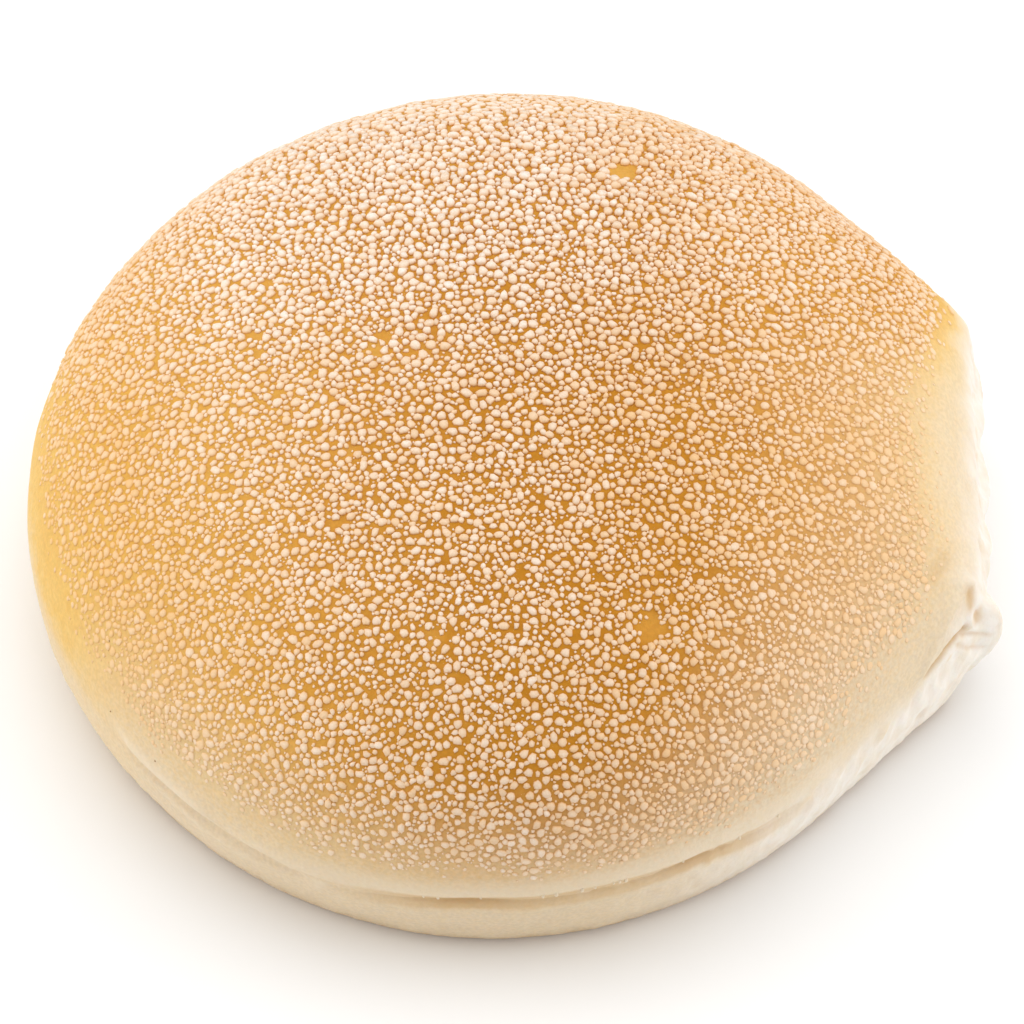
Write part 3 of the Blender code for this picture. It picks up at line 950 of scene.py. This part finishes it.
def crust_marks(points, rows):
    """What the finish and the painted shade and highlight of the crust go by, as a share from 0 to 1 at
    each point.
    """
    pale_lip_and_highlight, pocket, painted_shade = crease_marks(rows)
    spots = near_spots(points)
    return {
        "bake": how_baked(points, spots),
        "bloom": beige_bloom(points),
        "flour": flour_density(points, spots),
        "white": flour_whiteness(points),
        "pocket": pocket,
        "painted_shade": painted_shade,
        "pale_lip_and_highlight": np.maximum(pale_lip_and_highlight, pale_and_highlit_crests(points)),
        # Painted shade in the groove under the dome's edge at the torn side
        "groove": groove_share(points, 0.5 * GROOVE_HALF),
        "torn": torn_skin(points),
        "base": fade_out(points[:, 2], *BASE_BAKED),
        # Painted shade in the creases of the torn side
        "fold": torn_fold_shade(points),
    }


# ------------------------------------------------------------------ fine relief

def distance_to_run(points, start, end):
    """Distance of each point from the straight run between two points."""
    start, end = np.array(start), np.array(end)
    along = end - start
    share = np.clip(((points - start) @ along) / (along @ along), 0.0, 1.0)
    return np.linalg.norm(points - start - share[:, None] * along, axis=1)


def distance_to_runs(points, run):
    """Distance of each point from the nearest of the straight stretches of a run."""
    return np.min([distance_to_run(points, *ends) for ends in zip(run, run[1:])], axis=0)


def band_relief(points, wrinkle=BAND_RELIEF_DEPTH):
    """Wrinkles and small upright folds of the band, from the lip down."""
    angle = direction_of(points)
    height = points[:, 2]
    lip_height = lip_height_at(angle)
    on_band = fade_out(height, lip_height - BAND_RELIEF_TOP[0], lip_height - BAND_RELIEF_TOP[1])
    relief = wrinkle * noise_at(points, BAND_RELIEF_SIZE, 3.0)
    for direction, half_width, fold_height, reach in BAND_FOLDS:
        lean = UPRIGHT_LEAN * (height - lip_height) / ROLL_RADIUS
        across = turn_between(angle, direction + lean) * ROLL_RADIUS / half_width
        below = smooth_step(height, lip_height - reach, lip_height - UPRIGHT_TOP)
        relief += fold_height * below * (bell(across) - UPRIGHT_HOLLOW * bell(across - 2))
    return relief * on_band


def left_folds(points):
    """Soft folds low on the left: long ridges, and the hollow between them."""
    angle = np.degrees(direction_of(points))
    relief = np.zeros(len(points))
    for start, start_height, end, end_height, half_width, depth in LEFT_FOLDS:
        share = (angle - start) / (end - start)
        middle = (start_height + (end_height - start_height) * share) * MM
        ends = smooth_step(share, 0.0, LEFT_FOLD_ENDS[0])
        ends = ends * fade_out(share, LEFT_FOLD_ENDS[1], 1.0)
        relief += depth * MM * ends * bell((points[:, 2] - middle) / (half_width * MM))
    return relief


def torn_folds(points):
    """Each fold of the torn side, in turn: how near each point is to it, its height and how much painted
    shade it gets.
    """
    for run, half_width, height, shade_share in TORN_FOLDS:
        yield bell(distance_to_runs(points / MM, run) / half_width), height * MM, shade_share


def torn_side_relief(points, marks):
    """Fibres of the torn skin, with the creases, dents and ridges of its corner."""
    folds = 1 - 2 * np.abs(noise_at(points, TORN_FOLD_SIZE, 7.0))
    fibres = noise_at(points, TORN_FIBRE_SIZE, 2.0)
    relief = TORN_RELIEF_DEPTH * marks["torn"] * (folds - 0.5 + TORN_FIBRES * fibres)
    for fold, height, _ in torn_folds(points):
        relief += height * fold
    return relief


def torn_fold_shade(points):
    """How much painted shade each point gets in the creases of the torn side."""
    shade_share = np.zeros(len(points))
    for fold, _, share in torn_folds(points):
        shade_share = np.maximum(shade_share, share * fold)
    return shade_share


def fine_relief(points, marks):
    """How far each point of the crust stands out for bumps, folds, blisters and pores."""
    height = points[:, 2]
    open_skin = (1 - marks["pocket"]) * smooth_step(height, 0.0, BASE_ROUND)
    relief = np.zeros(len(points))
    for size, depth in CRUST_RELIEF:
        relief += depth * noise_at(points, size)
    relief += band_relief(points) + left_folds(points) + torn_side_relief(points, marks)
    relief -= SPOT_DENT * near_spots(points)
    off = np.hypot(points[:, 0] - BLISTER_PLACE.x, points[:, 1] - BLISTER_PLACE.y) / BLISTER_HALF
    relief += BLISTER_HEIGHT * bell(off) * (height > FLOUR_EDGE[0])
    return relief * open_skin


def vertex_array(vertices, name):
    """What each vertex keeps under a name, as rows of three."""
    values = np.empty(len(vertices) * 3, np.float32)
    vertices.foreach_get(name, values)
    return values.reshape(-1, 3).astype(float)


def write_marks(mesh, marks):
    """Keep each mark as an attribute that the materials read."""
    for name, values in marks.items():
        layer = mesh.attributes.new(name, "FLOAT", "POINT")
        layer.data.foreach_set("value", np.asarray(values, np.float32))


def add_piece(name, mesh, material):
    """A finished piece: linked, riding on the roll's body, with its slot named."""
    mesh.materials.append(material)
    mesh.shade_smooth()
    piece = bpy.data.objects.new(name, mesh)
    bpy.context.scene.collection.objects.link(piece)
    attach(piece, BODY)
    return piece


# ------------------------------------------------------------------ materials

def new_material(name):
    """An empty material, with its node tree and its surface shader."""
    material = bpy.data.materials.new(name)
    material.use_nodes = True
    tree = material.node_tree
    return material, tree, tree.nodes["Principled BSDF"]


def feed(tree, node, inputs):
    """Link each input to another node's output, or set it to a number, a vector or a colour."""
    for key, value in inputs.items():
        socket = node.inputs[key]
        if isinstance(value, bpy.types.NodeSocket):
            tree.links.new(value, socket)
        elif socket.type == "RGBA":
            socket.default_value = (*value, 1.0)
        else:
            socket.default_value = value


def add_node(tree, kind, inputs, **settings):
    """A node with its settings made and its inputs fed."""
    node = tree.nodes.new(kind)
    for name, value in settings.items():
        setattr(node, name, value)
    feed(tree, node, inputs)
    return node


def attribute(tree, name):
    """A mark that was kept with the mesh."""
    return add_node(tree, "ShaderNodeAttribute", {}, attribute_name=name).outputs["Fac"]


def noise_node(tree, size, detail=3.0, stretch=(1.0, 1.0, 1.0)):
    """Noise whose bumps are about as wide as size, in metres."""
    place = add_node(tree, "ShaderNodeTexCoord", {})
    inputs = {"Vector": place.outputs["Object"], "Scale": [part / size for part in stretch]}
    scaled = add_node(tree, "ShaderNodeMapping", inputs)
    inputs = {"Vector": scaled.outputs["Vector"], "Scale": 1.0, "Detail": detail}
    return add_node(tree, "ShaderNodeTexNoise", inputs).outputs["Fac"]


def math_node(tree, operation, first, second, clamp=False):
    """One step of arithmetic on two values."""
    inputs = {0: first, 1: second}
    node = add_node(tree, "ShaderNodeMath", inputs, operation=operation, use_clamp=clamp)
    return node.outputs["Value"]


def range_node(tree, value, from_low, from_high, to_low, to_high):
    """Map a value between two limits onto two others, clamped."""
    limits = {"From Min": from_low, "From Max": from_high, "To Min": to_low, "To Max": to_high}
    return add_node(tree, "ShaderNodeMapRange", {"Value": value, **limits}).outputs["Result"]


def mix_node(tree, share, first, second, blend="MIX"):
    """One colour over another, by a share."""
    inputs = {"Factor": share, "A": first, "B": second}
    node = add_node(tree, "ShaderNodeMix", inputs, data_type="RGBA", blend_type=blend)
    return node.outputs["Result"]


def ramp_node(tree, value, stops):
    """A value turned into colour by a row of stops."""
    node = add_node(tree, "ShaderNodeValToRGB", {"Fac": value})
    ramp = node.color_ramp
    while len(ramp.elements) < len(stops):
        ramp.elements.new(1.0)
    for element, (place, colour) in zip(ramp.elements, stops):
        element.position = place
        element.color = (*colour, 1.0)
    return node.outputs["Color"]


def bump_node(tree, heights, distance, strength):
    """Heights turned into the tilt of the surface."""
    inputs = {"Height": heights, "Distance": distance, "Strength": strength}
    return add_node(tree, "ShaderNodeBump", inputs).outputs["Normal"]


def pattern_node(tree, pattern, stretch=(1.0, 1.0, 1.0)):
    """Noise of a finish, mapped from its two limits onto what it gives there."""
    size, detail, *limits = pattern
    return range_node(tree, noise_node(tree, size, detail, stretch), *limits)


def patchy(tree, mark, pattern):
    """One of the crust's marks, broken up by a pattern."""
    return math_node(tree, "MULTIPLY", attribute(tree, mark), pattern_node(tree, pattern), clamp=True)


def crust_colour(tree, look):
    """Colour of the bare crust by how well it is baked, mottled as an oven leaves it."""
    bake = attribute(tree, "bake")
    for size, detail, strength in (MOTTLE, FINE_MOTTLE):
        mottle = math_node(tree, "SUBTRACT", noise_node(tree, size, detail), 0.5)
        bake = math_node(tree, "ADD", bake, math_node(tree, "MULTIPLY", mottle, strength))
    colours = (look.cream, look.yellow, look.golden, look.amber, look.brown)
    colour = ramp_node(tree, bake, tuple(zip(BAKE_STOPS, colours)))
    colour = mix_node(tree, patchy(tree, "bloom", BLOOM_PATTERN), colour, look.pale)
    return mix_node(tree, 1.0, colour, pattern_node(tree, SPECKLE_PATTERN), "MULTIPLY")


def crust_material(look):
    """Crust from pale to brown, with painted shade in the crease, its folds, its groove and below the lip,
    a painted highlight on the lip, white torn skin and a baked base.
    """
    material, tree, surface = new_material("crust")
    torn = mix_node(tree, pattern_node(tree, TORN_PATTERN, TORN_STRETCH), look.torn, look.pale)
    folds = math_node(tree, "MAXIMUM", attribute(tree, "pocket"), attribute(tree, "fold"))
    colour = crust_colour(tree, look)
    # Painted shade in the torn side's creases, the pocket, the band below the lip and the groove; painted
    # highlight on the lip and fold crests
    for share, over in (
        (attribute(tree, "torn"), torn),
        (attribute(tree, "pale_lip_and_highlight"), look.pale_lip_and_highlight),
        (patchy(tree, "painted_shade", SHADE_PATTERN), look.painted_shade),
        (patchy(tree, "groove", GROOVE_PATTERN), look.painted_shade),
        (folds, look.pocket),
        (patchy(tree, "base", BASE_PATTERN), look.base),
    ):
        colour = mix_node(tree, share, colour, over)
    pores = math_node(tree, "ADD", *(noise_node(tree, *pore) for pore in CRUST_PORES))
    feed(tree, surface, {
        "Base Color": colour,
        "Roughness": pattern_node(tree, CRUST_ROUGHNESS),
        "Normal": bump_node(tree, pores, *CRUST_PORE_DEPTH),
        **CRUST_SHADER,
    })
    return material


def flour_material(look, flour):
    """Flour over crust: white where it lies thick, warm at thin edges and on the flanks."""
    material, tree, surface = new_material("flour")
    grain = mix_node(tree, attribute(tree, "toast"), flour.white, flour.toasted)
    cover = patchy(tree, "cover", CLUMP_PATTERN)
    warm = mix_node(tree, range_node(tree, cover, *FLOUR_WARMS), crust_colour(tree, look), flour.toasted)
    colour = mix_node(tree, range_node(tree, cover, *FLOUR_HIDES), warm, grain)
    feed(tree, surface, {
        "Base Color": colour,
        "Roughness": pattern_node(tree, FLOUR_ROUGHNESS),
        "Normal": bump_node(tree, noise_node(tree, *FLOUR_POWDER), *FLOUR_POWDER_DEPTH),
        **FLOUR_SHADER,
    })
    return material


def crumb_material(look):
    """Pale dry crumb, a little toasted in patches."""
    material, tree, surface = new_material("crumb")
    colour = mix_node(tree, pattern_node(tree, CRUMB_PATTERN), look.pale_lip_and_highlight, look.pale)
    feed(tree, surface, {"Base Color": colour, "Roughness": pattern_node(tree, CRUMB_ROUGHNESS)})
    return material


def speck_material():
    """Bran baked dark, with a lighter grain through it."""
    material, tree, surface = new_material("bran")
    colour = mix_node(tree, noise_node(tree, BRAN_GRAIN), *BRAN_COLOURS)
    feed(tree, surface, {"Base Color": colour, "Roughness": BRAN_ROUGHNESS})
    return material


# ------------------------------------------------------------------ scattering

class Crust:
    """The finished crust as a surface that grains are scattered on."""

    def __init__(self, mesh):
        self.points = vertex_array(mesh.vertices, "co")
        self.normals = vertex_array(mesh.vertex_normals, "vector")
        mesh.calc_loop_triangles()
        corners = np.empty(len(mesh.loop_triangles) * 3, np.int32)
        mesh.loop_triangles.foreach_get("vertices", corners)
        self.triangles = corners.reshape(-1, 3)
        self.marks = {}
        for name in CRUST_MARKS:
            values = np.empty(len(mesh.vertices), np.float32)
            mesh.attributes[name].data.foreach_get("value", values)
            self.marks[name] = values.astype(float)

    def spread(self, draw, count, weights):
        """Random places on the crust, as many per area as the weights say."""
        a, b, c = (self.points[self.triangles[:, side]] for side in range(3))
        area = np.linalg.norm(np.cross(b - a, c - a), axis=1)
        chance = area * weights[self.triangles].mean(axis=1)
        chosen = draw.choice(len(area), count, p=chance / chance.sum())
        u = np.sqrt(draw.random(count))
        v = draw.random(count)
        shares = np.stack([1 - u, u * (1 - v), u * v], 1)
        return self.triangles[chosen], shares

    def mix(self, values, corners, shares):
        """Values of the vertices blended at places inside their triangles."""
        picked = values[corners]
        if picked.ndim == 3:
            return (picked * shares[:, :, None]).sum(axis=1)
        return (picked * shares).sum(axis=1)


def too_close(settled, place, reach, gap):
    """True if a grain here would touch one that already lies in the nine nearest cells."""
    column, row = int(place[0] // CELL), int(place[1] // CELL)
    for i in (column - 1, column, column + 1):
        for j in (row - 1, row, row + 1):
            for other, other_reach in settled.get((i, j), ()):
                least = reach + other_reach + gap
                off = (place[0] - other[0]) ** 2 + (place[1] - other[1]) ** 2
                if off + (place[2] - other[2]) ** 2 < least * least:
                    return True
    return False


def settle(places, reaches, gaps, most, settled):
    """Indices of the grains that find room, in order, each kept clear of those before it."""
    kept = []
    for index, (place, reach, gap) in enumerate(zip(places.tolist(), reaches.tolist(), gaps)):
        if too_close(settled, place, reach, gap):
            continue
        key = (int(place[0] // CELL), int(place[1] // CELL))
        settled.setdefault(key, []).append((place, reach))
        kept.append(index)
        if len(kept) == most:
            break
    return np.array(kept)


def tangents(normals):
    """Two directions along the surface at each place."""
    helper = np.tile((1.0, 0.0, 0.0), (len(normals), 1))
    across = np.cross(normals, helper)
    across /= np.linalg.norm(across, axis=1)[:, None]
    return across, np.cross(normals, across)


def uneven_outlines(draw, reaches, sides):
    """Rounded, lopsided outlines: how far each grain reaches in each direction."""
    turn = 2 * math.pi * np.arange(sides) / sides
    turns = turn + draw.uniform(-TURN_LOOSE, TURN_LOOSE, (len(reaches), sides)) * 2 * math.pi / sides
    outline = np.ones((len(reaches), sides))
    for waves, low, high in OUTLINE_WAVES:
        strength = draw.uniform(low, high, (len(reaches), 1))
        phase = draw.uniform(0, 2 * math.pi, (len(reaches), 1))
        outline += strength * np.cos(waves * turns - phase)
    outline += draw.uniform(-OUTLINE_LOOSE, OUTLINE_LOOSE, outline.shape)
    return turns, outline * reaches[:, None]


def press_together(places, normals, reaches, turns, outline, gaps):
    """Cut each grain back where it would run into a neighbour, which leaves straight sides."""
    across, along = tangents(normals)
    tree = kdtree.KDTree(len(places))
    for index, place in enumerate(places):
        tree.insert(place, index)
    tree.balance()
    search = PRESS_REACH * reaches.max()
    for index, place in enumerate(places):
        for _, near, distance in tree.find_range(place, search):
            if near == index:
                continue
            toward = places[near] - place
            direction = math.atan2(toward @ along[index], toward @ across[index])
            share = reaches[index] / (reaches[index] + reaches[near])
            facing = np.cos(turns[index] - direction)
            limit = (distance * share - 0.5 * gaps[index]) / np.maximum(facing, PRESS_FACING)
            pressed = np.minimum(outline[index], limit)
            outline[index] = np.where(facing > PRESS_FACING, pressed, outline[index])
    return np.maximum(outline, LEAST_OUTLINE * reaches[:, None])


def grain_mesh(name, places, normals, turns, outline, rings, centres, marks):
    """One mesh of closed grains. A ring is its width share, height and cover; centres close the top."""
    count, sides = turns.shape
    across, along = tangents(normals)
    flat = outline[:, :, None] * (
        np.cos(turns)[:, :, None] * across[:, None, :] + np.sin(turns)[:, :, None] * along[:, None, :]
    )
    layers = [
        places[:, None, :] + share * flat + np.asarray(lift).reshape(-1, 1, 1) * normals[:, None, :]
        for share, lift, _ in rings
    ]
    tips = places + centres[:, None] * normals
    points = np.concatenate([*layers, tips[:, None, :]], axis=1)
    each = points.shape[1]
    start = np.arange(count)[:, None] * each
    side = np.arange(sides)
    after = (side + 1) % sides
    faces = (start + side[::-1]).tolist()
    for ring in range(len(rings) - 1):
        low, high = ring * sides, (ring + 1) * sides
        quads = np.stack([start + low + side, start + low + after,
                          start + high + after, start + high + side], 2)
        faces += quads.reshape(-1, 4).tolist()
    last = (len(rings) - 1) * sides
    fan = np.stack([start + last + side, start + last + after,
                    np.broadcast_to(start + len(rings) * sides, (count, sides))], 2)
    faces += fan.reshape(-1, 3).tolist()
    mesh = bpy.data.meshes.new(name)
    mesh.from_pydata(points.reshape(-1, 3).tolist(), [], faces)
    cover = np.concatenate([np.full(sides, share) for _, _, share in rings] + [[1.0]])
    spread = {key: np.repeat(values, each) for key, values in marks.items()}
    spread["cover"] = spread["cover"] * np.tile(cover, count)
    write_marks(mesh, spread)
    return mesh


def scatter_places(crust, draw, count):
    """Random places where the flour lies, with their normals and the crust's marks there."""
    density = crust.marks["flour"]
    corners, shares = crust.spread(draw, count, np.where(density > LEAST_DENSITY, density, 0.0))
    places = crust.mix(crust.points, corners, shares)
    normals = crust.mix(crust.normals, corners, shares)
    normals /= np.linalg.norm(normals, axis=1)[:, None]
    marks = {name: crust.mix(crust.marks[name], corners, shares) for name in CRUST_MARKS}
    return places, normals, marks


def grain_swell(places, thick, rich):
    """How much wider the grains are where the flour is thick, in patches, and to the back."""
    patches = 1 + PATCH_SWELL * noise_at(places, PATCH_SIZE, 12.0)
    return gained(REACH_BY_THICKNESS, thick) * patches * gained(RICH_WIDER, rich)


def grain_heights(draw, height, places, thick, rich):
    """How tall the grains stand: more to the back, less where it is thin, at the rim and on the flanks."""
    tall = height * MM * draw.uniform(*TALLNESS, len(places))
    tall *= gained(TALL_BY_THICKNESS, thick)
    tall *= 1 + RICH_TALLER * rich
    tall *= 1 - RIM_FLATTER * smooth_step(places[:, 1], *RIM_PLACES)
    tall *= 1 - FLANK_FLATTER * smooth_step(np.abs(places[:, 0]), *FLANK_PLACES)
    return tall


def grain_marks(draw, places, marks):
    """What the finish of the grains goes by: the crust's marks, and their own cover and toast."""
    thin = THINNER * np.maximum(smooth_step(np.abs(places[:, 0]), *THIN_FLANKS),
                                fade_out(places[:, 1], *THIN_FRONT))
    cover = gained(COVER_BY_WHITENESS, marks["white"]) - thin
    cover = cover + draw.uniform(-COVER_LOOSE, COVER_LOOSE, len(places))
    toast = 1 - marks["white"] + draw.uniform(-TOAST_LOOSE, TOAST_LOOSE, len(places))
    return {
        "bake": marks["bake"],
        "bloom": marks["bloom"],
        "cover": cover,
        "toast": np.clip(toast, 0, 1),
    }


def scatter_grains(crust, draw, kind, size, settled):
    """The mesh of one kind of flour grain, each settled clear of those that lie there already."""
    name, (least, most), sides, rings, tries, limit, nearest, height = kind
    places, normals, marks = scatter_places(crust, draw, tries)
    rich = smooth_step(places[:, 1], *RICH_PLACES)
    reaches = draw.uniform(least, most, tries) * MM * size
    order = np.argsort(-reaches + draw.uniform(0, ORDER_LOOSE, tries))
    order = order[noise_at(places[order], HOLE_SIZE, 21.0) > HOLE_CUT]
    reaches *= grain_swell(places, marks["flour"], rich)
    gaps = draw.uniform(*FLOUR_GAP, tries) * (draw.random(tries) > FLOUR_TOUCHING)
    gaps *= 1 - FLOUR_CLOSER * rich
    kept = order[settle(places[order], nearest * reaches[order], gaps[order], limit, settled)]
    places, normals, reaches, rich, gaps = (
        values[kept] for values in (places, normals, reaches, rich, gaps)
    )
    marks = {key: values[kept] for key, values in marks.items()}
    turns, outline = uneven_outlines(draw, reaches * OUTLINE_SHARE, sides)
    outline = press_together(places, normals, reaches, turns, outline, gaps)
    tall = grain_heights(draw, height, places, marks["flour"], rich)
    dimpled = draw.random(len(kept)) < DIMPLE_SHARE * (rings > 2)
    centres = tall * np.where(dimpled, DIMPLE_HEIGHT, CENTRE_HEIGHT)
    lifts = [(share, np.full(len(kept), -FLOUR_SUNK) if lift < 0 else lift * tall, cover)
             for share, lift, cover in GRAIN_RINGS[rings]]
    marks = grain_marks(draw, places, marks)
    return grain_mesh(name, places, normals, turns, outline, lifts, centres, marks)


def scatter_dust(crust, draw, material):
    """The finest flour: tiny low flakes between the grains."""
    places, normals, marks = scatter_places(crust, draw, DUST_COUNT)
    reaches = draw.uniform(*DUST_HALF, DUST_COUNT) * MM
    turns, outline = uneven_outlines(draw, reaches, DUST_SIDES)
    dust_marks = {
        "bake": marks["bake"],
        "bloom": marks["bloom"],
        "cover": gained(DUST_COVER, marks["white"]),
        "toast": 1 - marks["white"],
    }
    rings = ((1.0, -DUST_HEIGHT * MM, DUST_FOOT_COVER),)
    centres = np.full(DUST_COUNT, DUST_HEIGHT * MM)
    mesh = grain_mesh("flour_dust", places, normals, turns, outline, rings, centres, dust_marks)
    return add_piece("flour_dust", mesh, material)


def lump_mesh(name, draw, places, half_widths, stretch):
    """One mesh of small uneven lumps, each a rounded blob of its own."""
    verts, faces = [], []
    for place, half_width in zip(places, half_widths):
        start = len(verts)
        wobble = draw.uniform(-30, 30, 3)
        for ring in range(1, LUMP_RINGS):
            tilt = math.pi * ring / LUMP_RINGS
            for side in range(LUMP_SIDES):
                turn = 2 * math.pi * side / LUMP_SIDES
                way = np.array((math.sin(tilt) * math.cos(turn), math.sin(tilt) * math.sin(turn),
                                math.cos(tilt)))
                bump = noise.noise((way * LUMP_BUMPS + wobble).tolist())
                reach = half_width * (1 + LUMP_UNEVEN * bump)
                verts.append(place + way * reach * stretch)
        verts += [place + np.array((0, 0, half_width)) * stretch,
                  place - np.array((0, 0, half_width)) * stretch]
        top, bottom = len(verts) - 2, len(verts) - 1
        last = start + (LUMP_RINGS - 2) * LUMP_SIDES
        for side in range(LUMP_SIDES):
            after = (side + 1) % LUMP_SIDES
            faces += [(top, start + side, start + after), (bottom, last + after, last + side)]
            for ring in range(LUMP_RINGS - 2):
                low = start + ring * LUMP_SIDES
                high = low + LUMP_SIDES
                faces.append((low + side, high + side, high + after, low + after))
    mesh = bpy.data.meshes.new(name)
    mesh.from_pydata([tuple(vert) for vert in verts], [], faces)
    return mesh


# ------------------------------------------------------------------ operators

class BAKERY_OT_crust(Operator):
    """Bake the roll: its whole crust, from the dome to the underside"""

    bl_idname = "bakery.crust"
    bl_label = "Bake the crust"

    def execute(self, context):
        scene = context.scene
        points, rows = crust_grid(scene.roll_form)
        mesh = bpy.data.meshes.new("roll_crust")
        mesh.from_pydata(points.tolist(), [], grid_faces(rows))
        marks = crust_marks(points, rows)
        normals = vertex_array(mesh.vertex_normals, "vector")
        points += normals * fine_relief(points, marks)[:, None]
        mesh.vertices.foreach_set("co", points.ravel().astype(np.float32))
        mesh.update()
        write_marks(mesh, marks)
        crust = add_piece("roll_crust", mesh, crust_material(scene.crust_look))
        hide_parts(NODE)
        return {"FINISHED"}


class BAKERY_OT_flour(Operator):
    """Dust the crust with coarse, medium and fine flour"""

    bl_idname = "bakery.flour"
    bl_label = "Dust with flour"

    def execute(self, context):
        scene = context.scene
        crust = Crust(bpy.data.objects["roll_crust"].data)
        material = flour_material(scene.crust_look, scene.flour_look)
        draw = np.random.default_rng(scene.flour_look.seed)
        settled = {}
        for kind in FLOUR_KINDS:
            mesh = scatter_grains(crust, draw, kind, scene.flour_look.size, settled)
            add_piece(kind[0], mesh, material)
        scatter_dust(crust, draw, material)
        return {"FINISHED"}


class BAKERY_OT_crumbs(Operator):
    """Add the crumbs of skin along the lip and the dark bran specks"""

    bl_idname = "bakery.crumbs"
    bl_label = "Add crumbs and bran"

    def execute(self, context):
        look = context.scene.crust_look
        points = vertex_array(bpy.data.objects["roll_crust"].data.vertices, "co")
        draw = np.random.default_rng(context.scene.flour_look.seed + 1)
        angle = np.degrees(direction_of(points))
        rows = (len(points) - 2) // COLUMNS
        on_lip = np.arange(len(points)) % rows == DOME_ROWS + LIP_CRUMB_ROW
        places = [
            points[np.where(on_lip, np.abs(angle - direction), np.inf).argmin()]
            for direction in LIP_CRUMBS
        ]
        halves = draw.uniform(*LIP_CRUMB_HALF, len(places))
        crumbs = lump_mesh("lip_crumbs", draw, places, halves, LIP_CRUMB_STRETCH)
        add_piece("lip_crumbs", crumbs, crumb_material(look))
        places = [points[np.linalg.norm(points - np.array(place) * MM, axis=1).argmin()]
                  for place in SPECK_PLACES]
        specks = lump_mesh("bran_specks", draw, places, [SPECK_HALF] * len(places), SPECK_STRETCH)
        add_piece("bran_specks", specks, speck_material())
        return {"FINISHED"}


class BAKERY_OT_stage(Operator):
    """Set the floor, the soft light and the camera"""

    bl_idname = "bakery.stage"
    bl_label = "Set the stage"

    def execute(self, context):
        scene = context.scene
        look = scene.stage_look
        bpy.ops.mesh.primitive_plane_add(size=2 * FLOOR_HALF)
        floor = context.object
        floor.name = "floor"
        material, tree, surface = new_material("floor")
        toned = [FLOOR_TONE * part for part in look.floor]
        colour = mix_node(tree, noise_node(tree, FLOOR_TONE_SIZE), look.floor, toned)
        feed(tree, surface, {"Base Color": colour, "Roughness": FLOOR_ROUGHNESS})
        floor.data.materials.append(material)
        self.add_sky(scene, look)
        self.add_softbox(scene, "softbox", SOFTBOX_PLACE, SOFTBOX_WIDTH, look.softbox)
        for side in (-1, 1):
            place = (side * SIDE_LIGHT_PLACE[0], *SIDE_LIGHT_PLACE[1:])
            self.add_softbox(scene, "side_light", place, SIDE_LIGHT_WIDTH, look.side_light)
        self.add_camera(scene, look)
        scene.view_settings.view_transform = "Standard"
        return {"FINISHED"}

    def add_sky(self, scene, look):
        world = bpy.data.worlds.new("room")
        world.use_nodes = True
        background = world.node_tree.nodes["Background"]
        feed(world.node_tree, background, {"Strength": look.sky, "Color": SKY_COLOUR})
        scene.world = world

    def add_softbox(self, scene, name, place, width, power):
        light = bpy.data.lights.new(name, "AREA")
        light.shape = "DISK"
        light.size = width
        light.energy = power
        lamp = bpy.data.objects.new(name, light)
        lamp.location = place
        lamp.rotation_euler = (-Vector(place)).to_track_quat("-Z", "Y").to_euler()
        scene.collection.objects.link(lamp)

    def add_camera(self, scene, look):
        camera = bpy.data.objects.new("camera", bpy.data.cameras.new("camera"))
        camera.data.sensor_width = SENSOR_WIDTH
        camera.data.lens = SENSOR_WIDTH * look.distance / look.width
        camera.data.clip_start = CLIP_START
        camera.rotation_euler = (math.pi / 2 - look.elevation, 0, 0)
        right, up, back = camera.rotation_euler.to_matrix().col
        camera.location = Vector((0, 0, LOOK_HEIGHT)) + back * look.distance
        camera.location += right * FRAME_RIGHT - up * FRAME_DOWN
        scene.collection.objects.link(camera)
        scene.camera = camera


class BAKERY_PT_roll(Panel):
    """Everything that makes the roll, in order"""

    bl_label = "Morning roll"
    bl_space_type = "VIEW_3D"
    bl_region_type = "UI"
    bl_category = "Bakery"

    def draw(self, context):
        for name, _, operators in SETTINGS:
            box = self.layout.box()
            settings = getattr(context.scene, name)
            for key in settings.__annotations__:
                box.prop(settings, key)
            for operator in operators:
                box.operator(operator)


# Name and class of each group of settings, and the operators that stand below it in the panel
SETTINGS = (
    ("roll_form", RollForm, ()),
    ("crust_look", CrustLook, ("bakery.crust",)),
    ("flour_look", FlourLook, ("bakery.flour", "bakery.crumbs")),
    ("stage_look", StageLook, ("bakery.stage",)),
)
CLASSES = (
    *(group for _, group, _ in SETTINGS),
    BAKERY_OT_crust,
    BAKERY_OT_flour,
    BAKERY_OT_crumbs,
    BAKERY_OT_stage,
    BAKERY_PT_roll,
)


def register():
    for item in CLASSES:
        bpy.utils.register_class(item)
    for name, group, _ in SETTINGS:
        setattr(bpy.types.Scene, name, PointerProperty(type=group))


def unregister():
    for name, _, _ in SETTINGS:
        delattr(bpy.types.Scene, name)
    for item in reversed(CLASSES):
        bpy.utils.unregister_class(item)


def main():
    register()
    bpy.ops.bakery.crust()
    bpy.ops.bakery.flour()
    bpy.ops.bakery.crumbs()
    bpy.ops.bakery.stage()


if __name__ == "__main__":
    main()
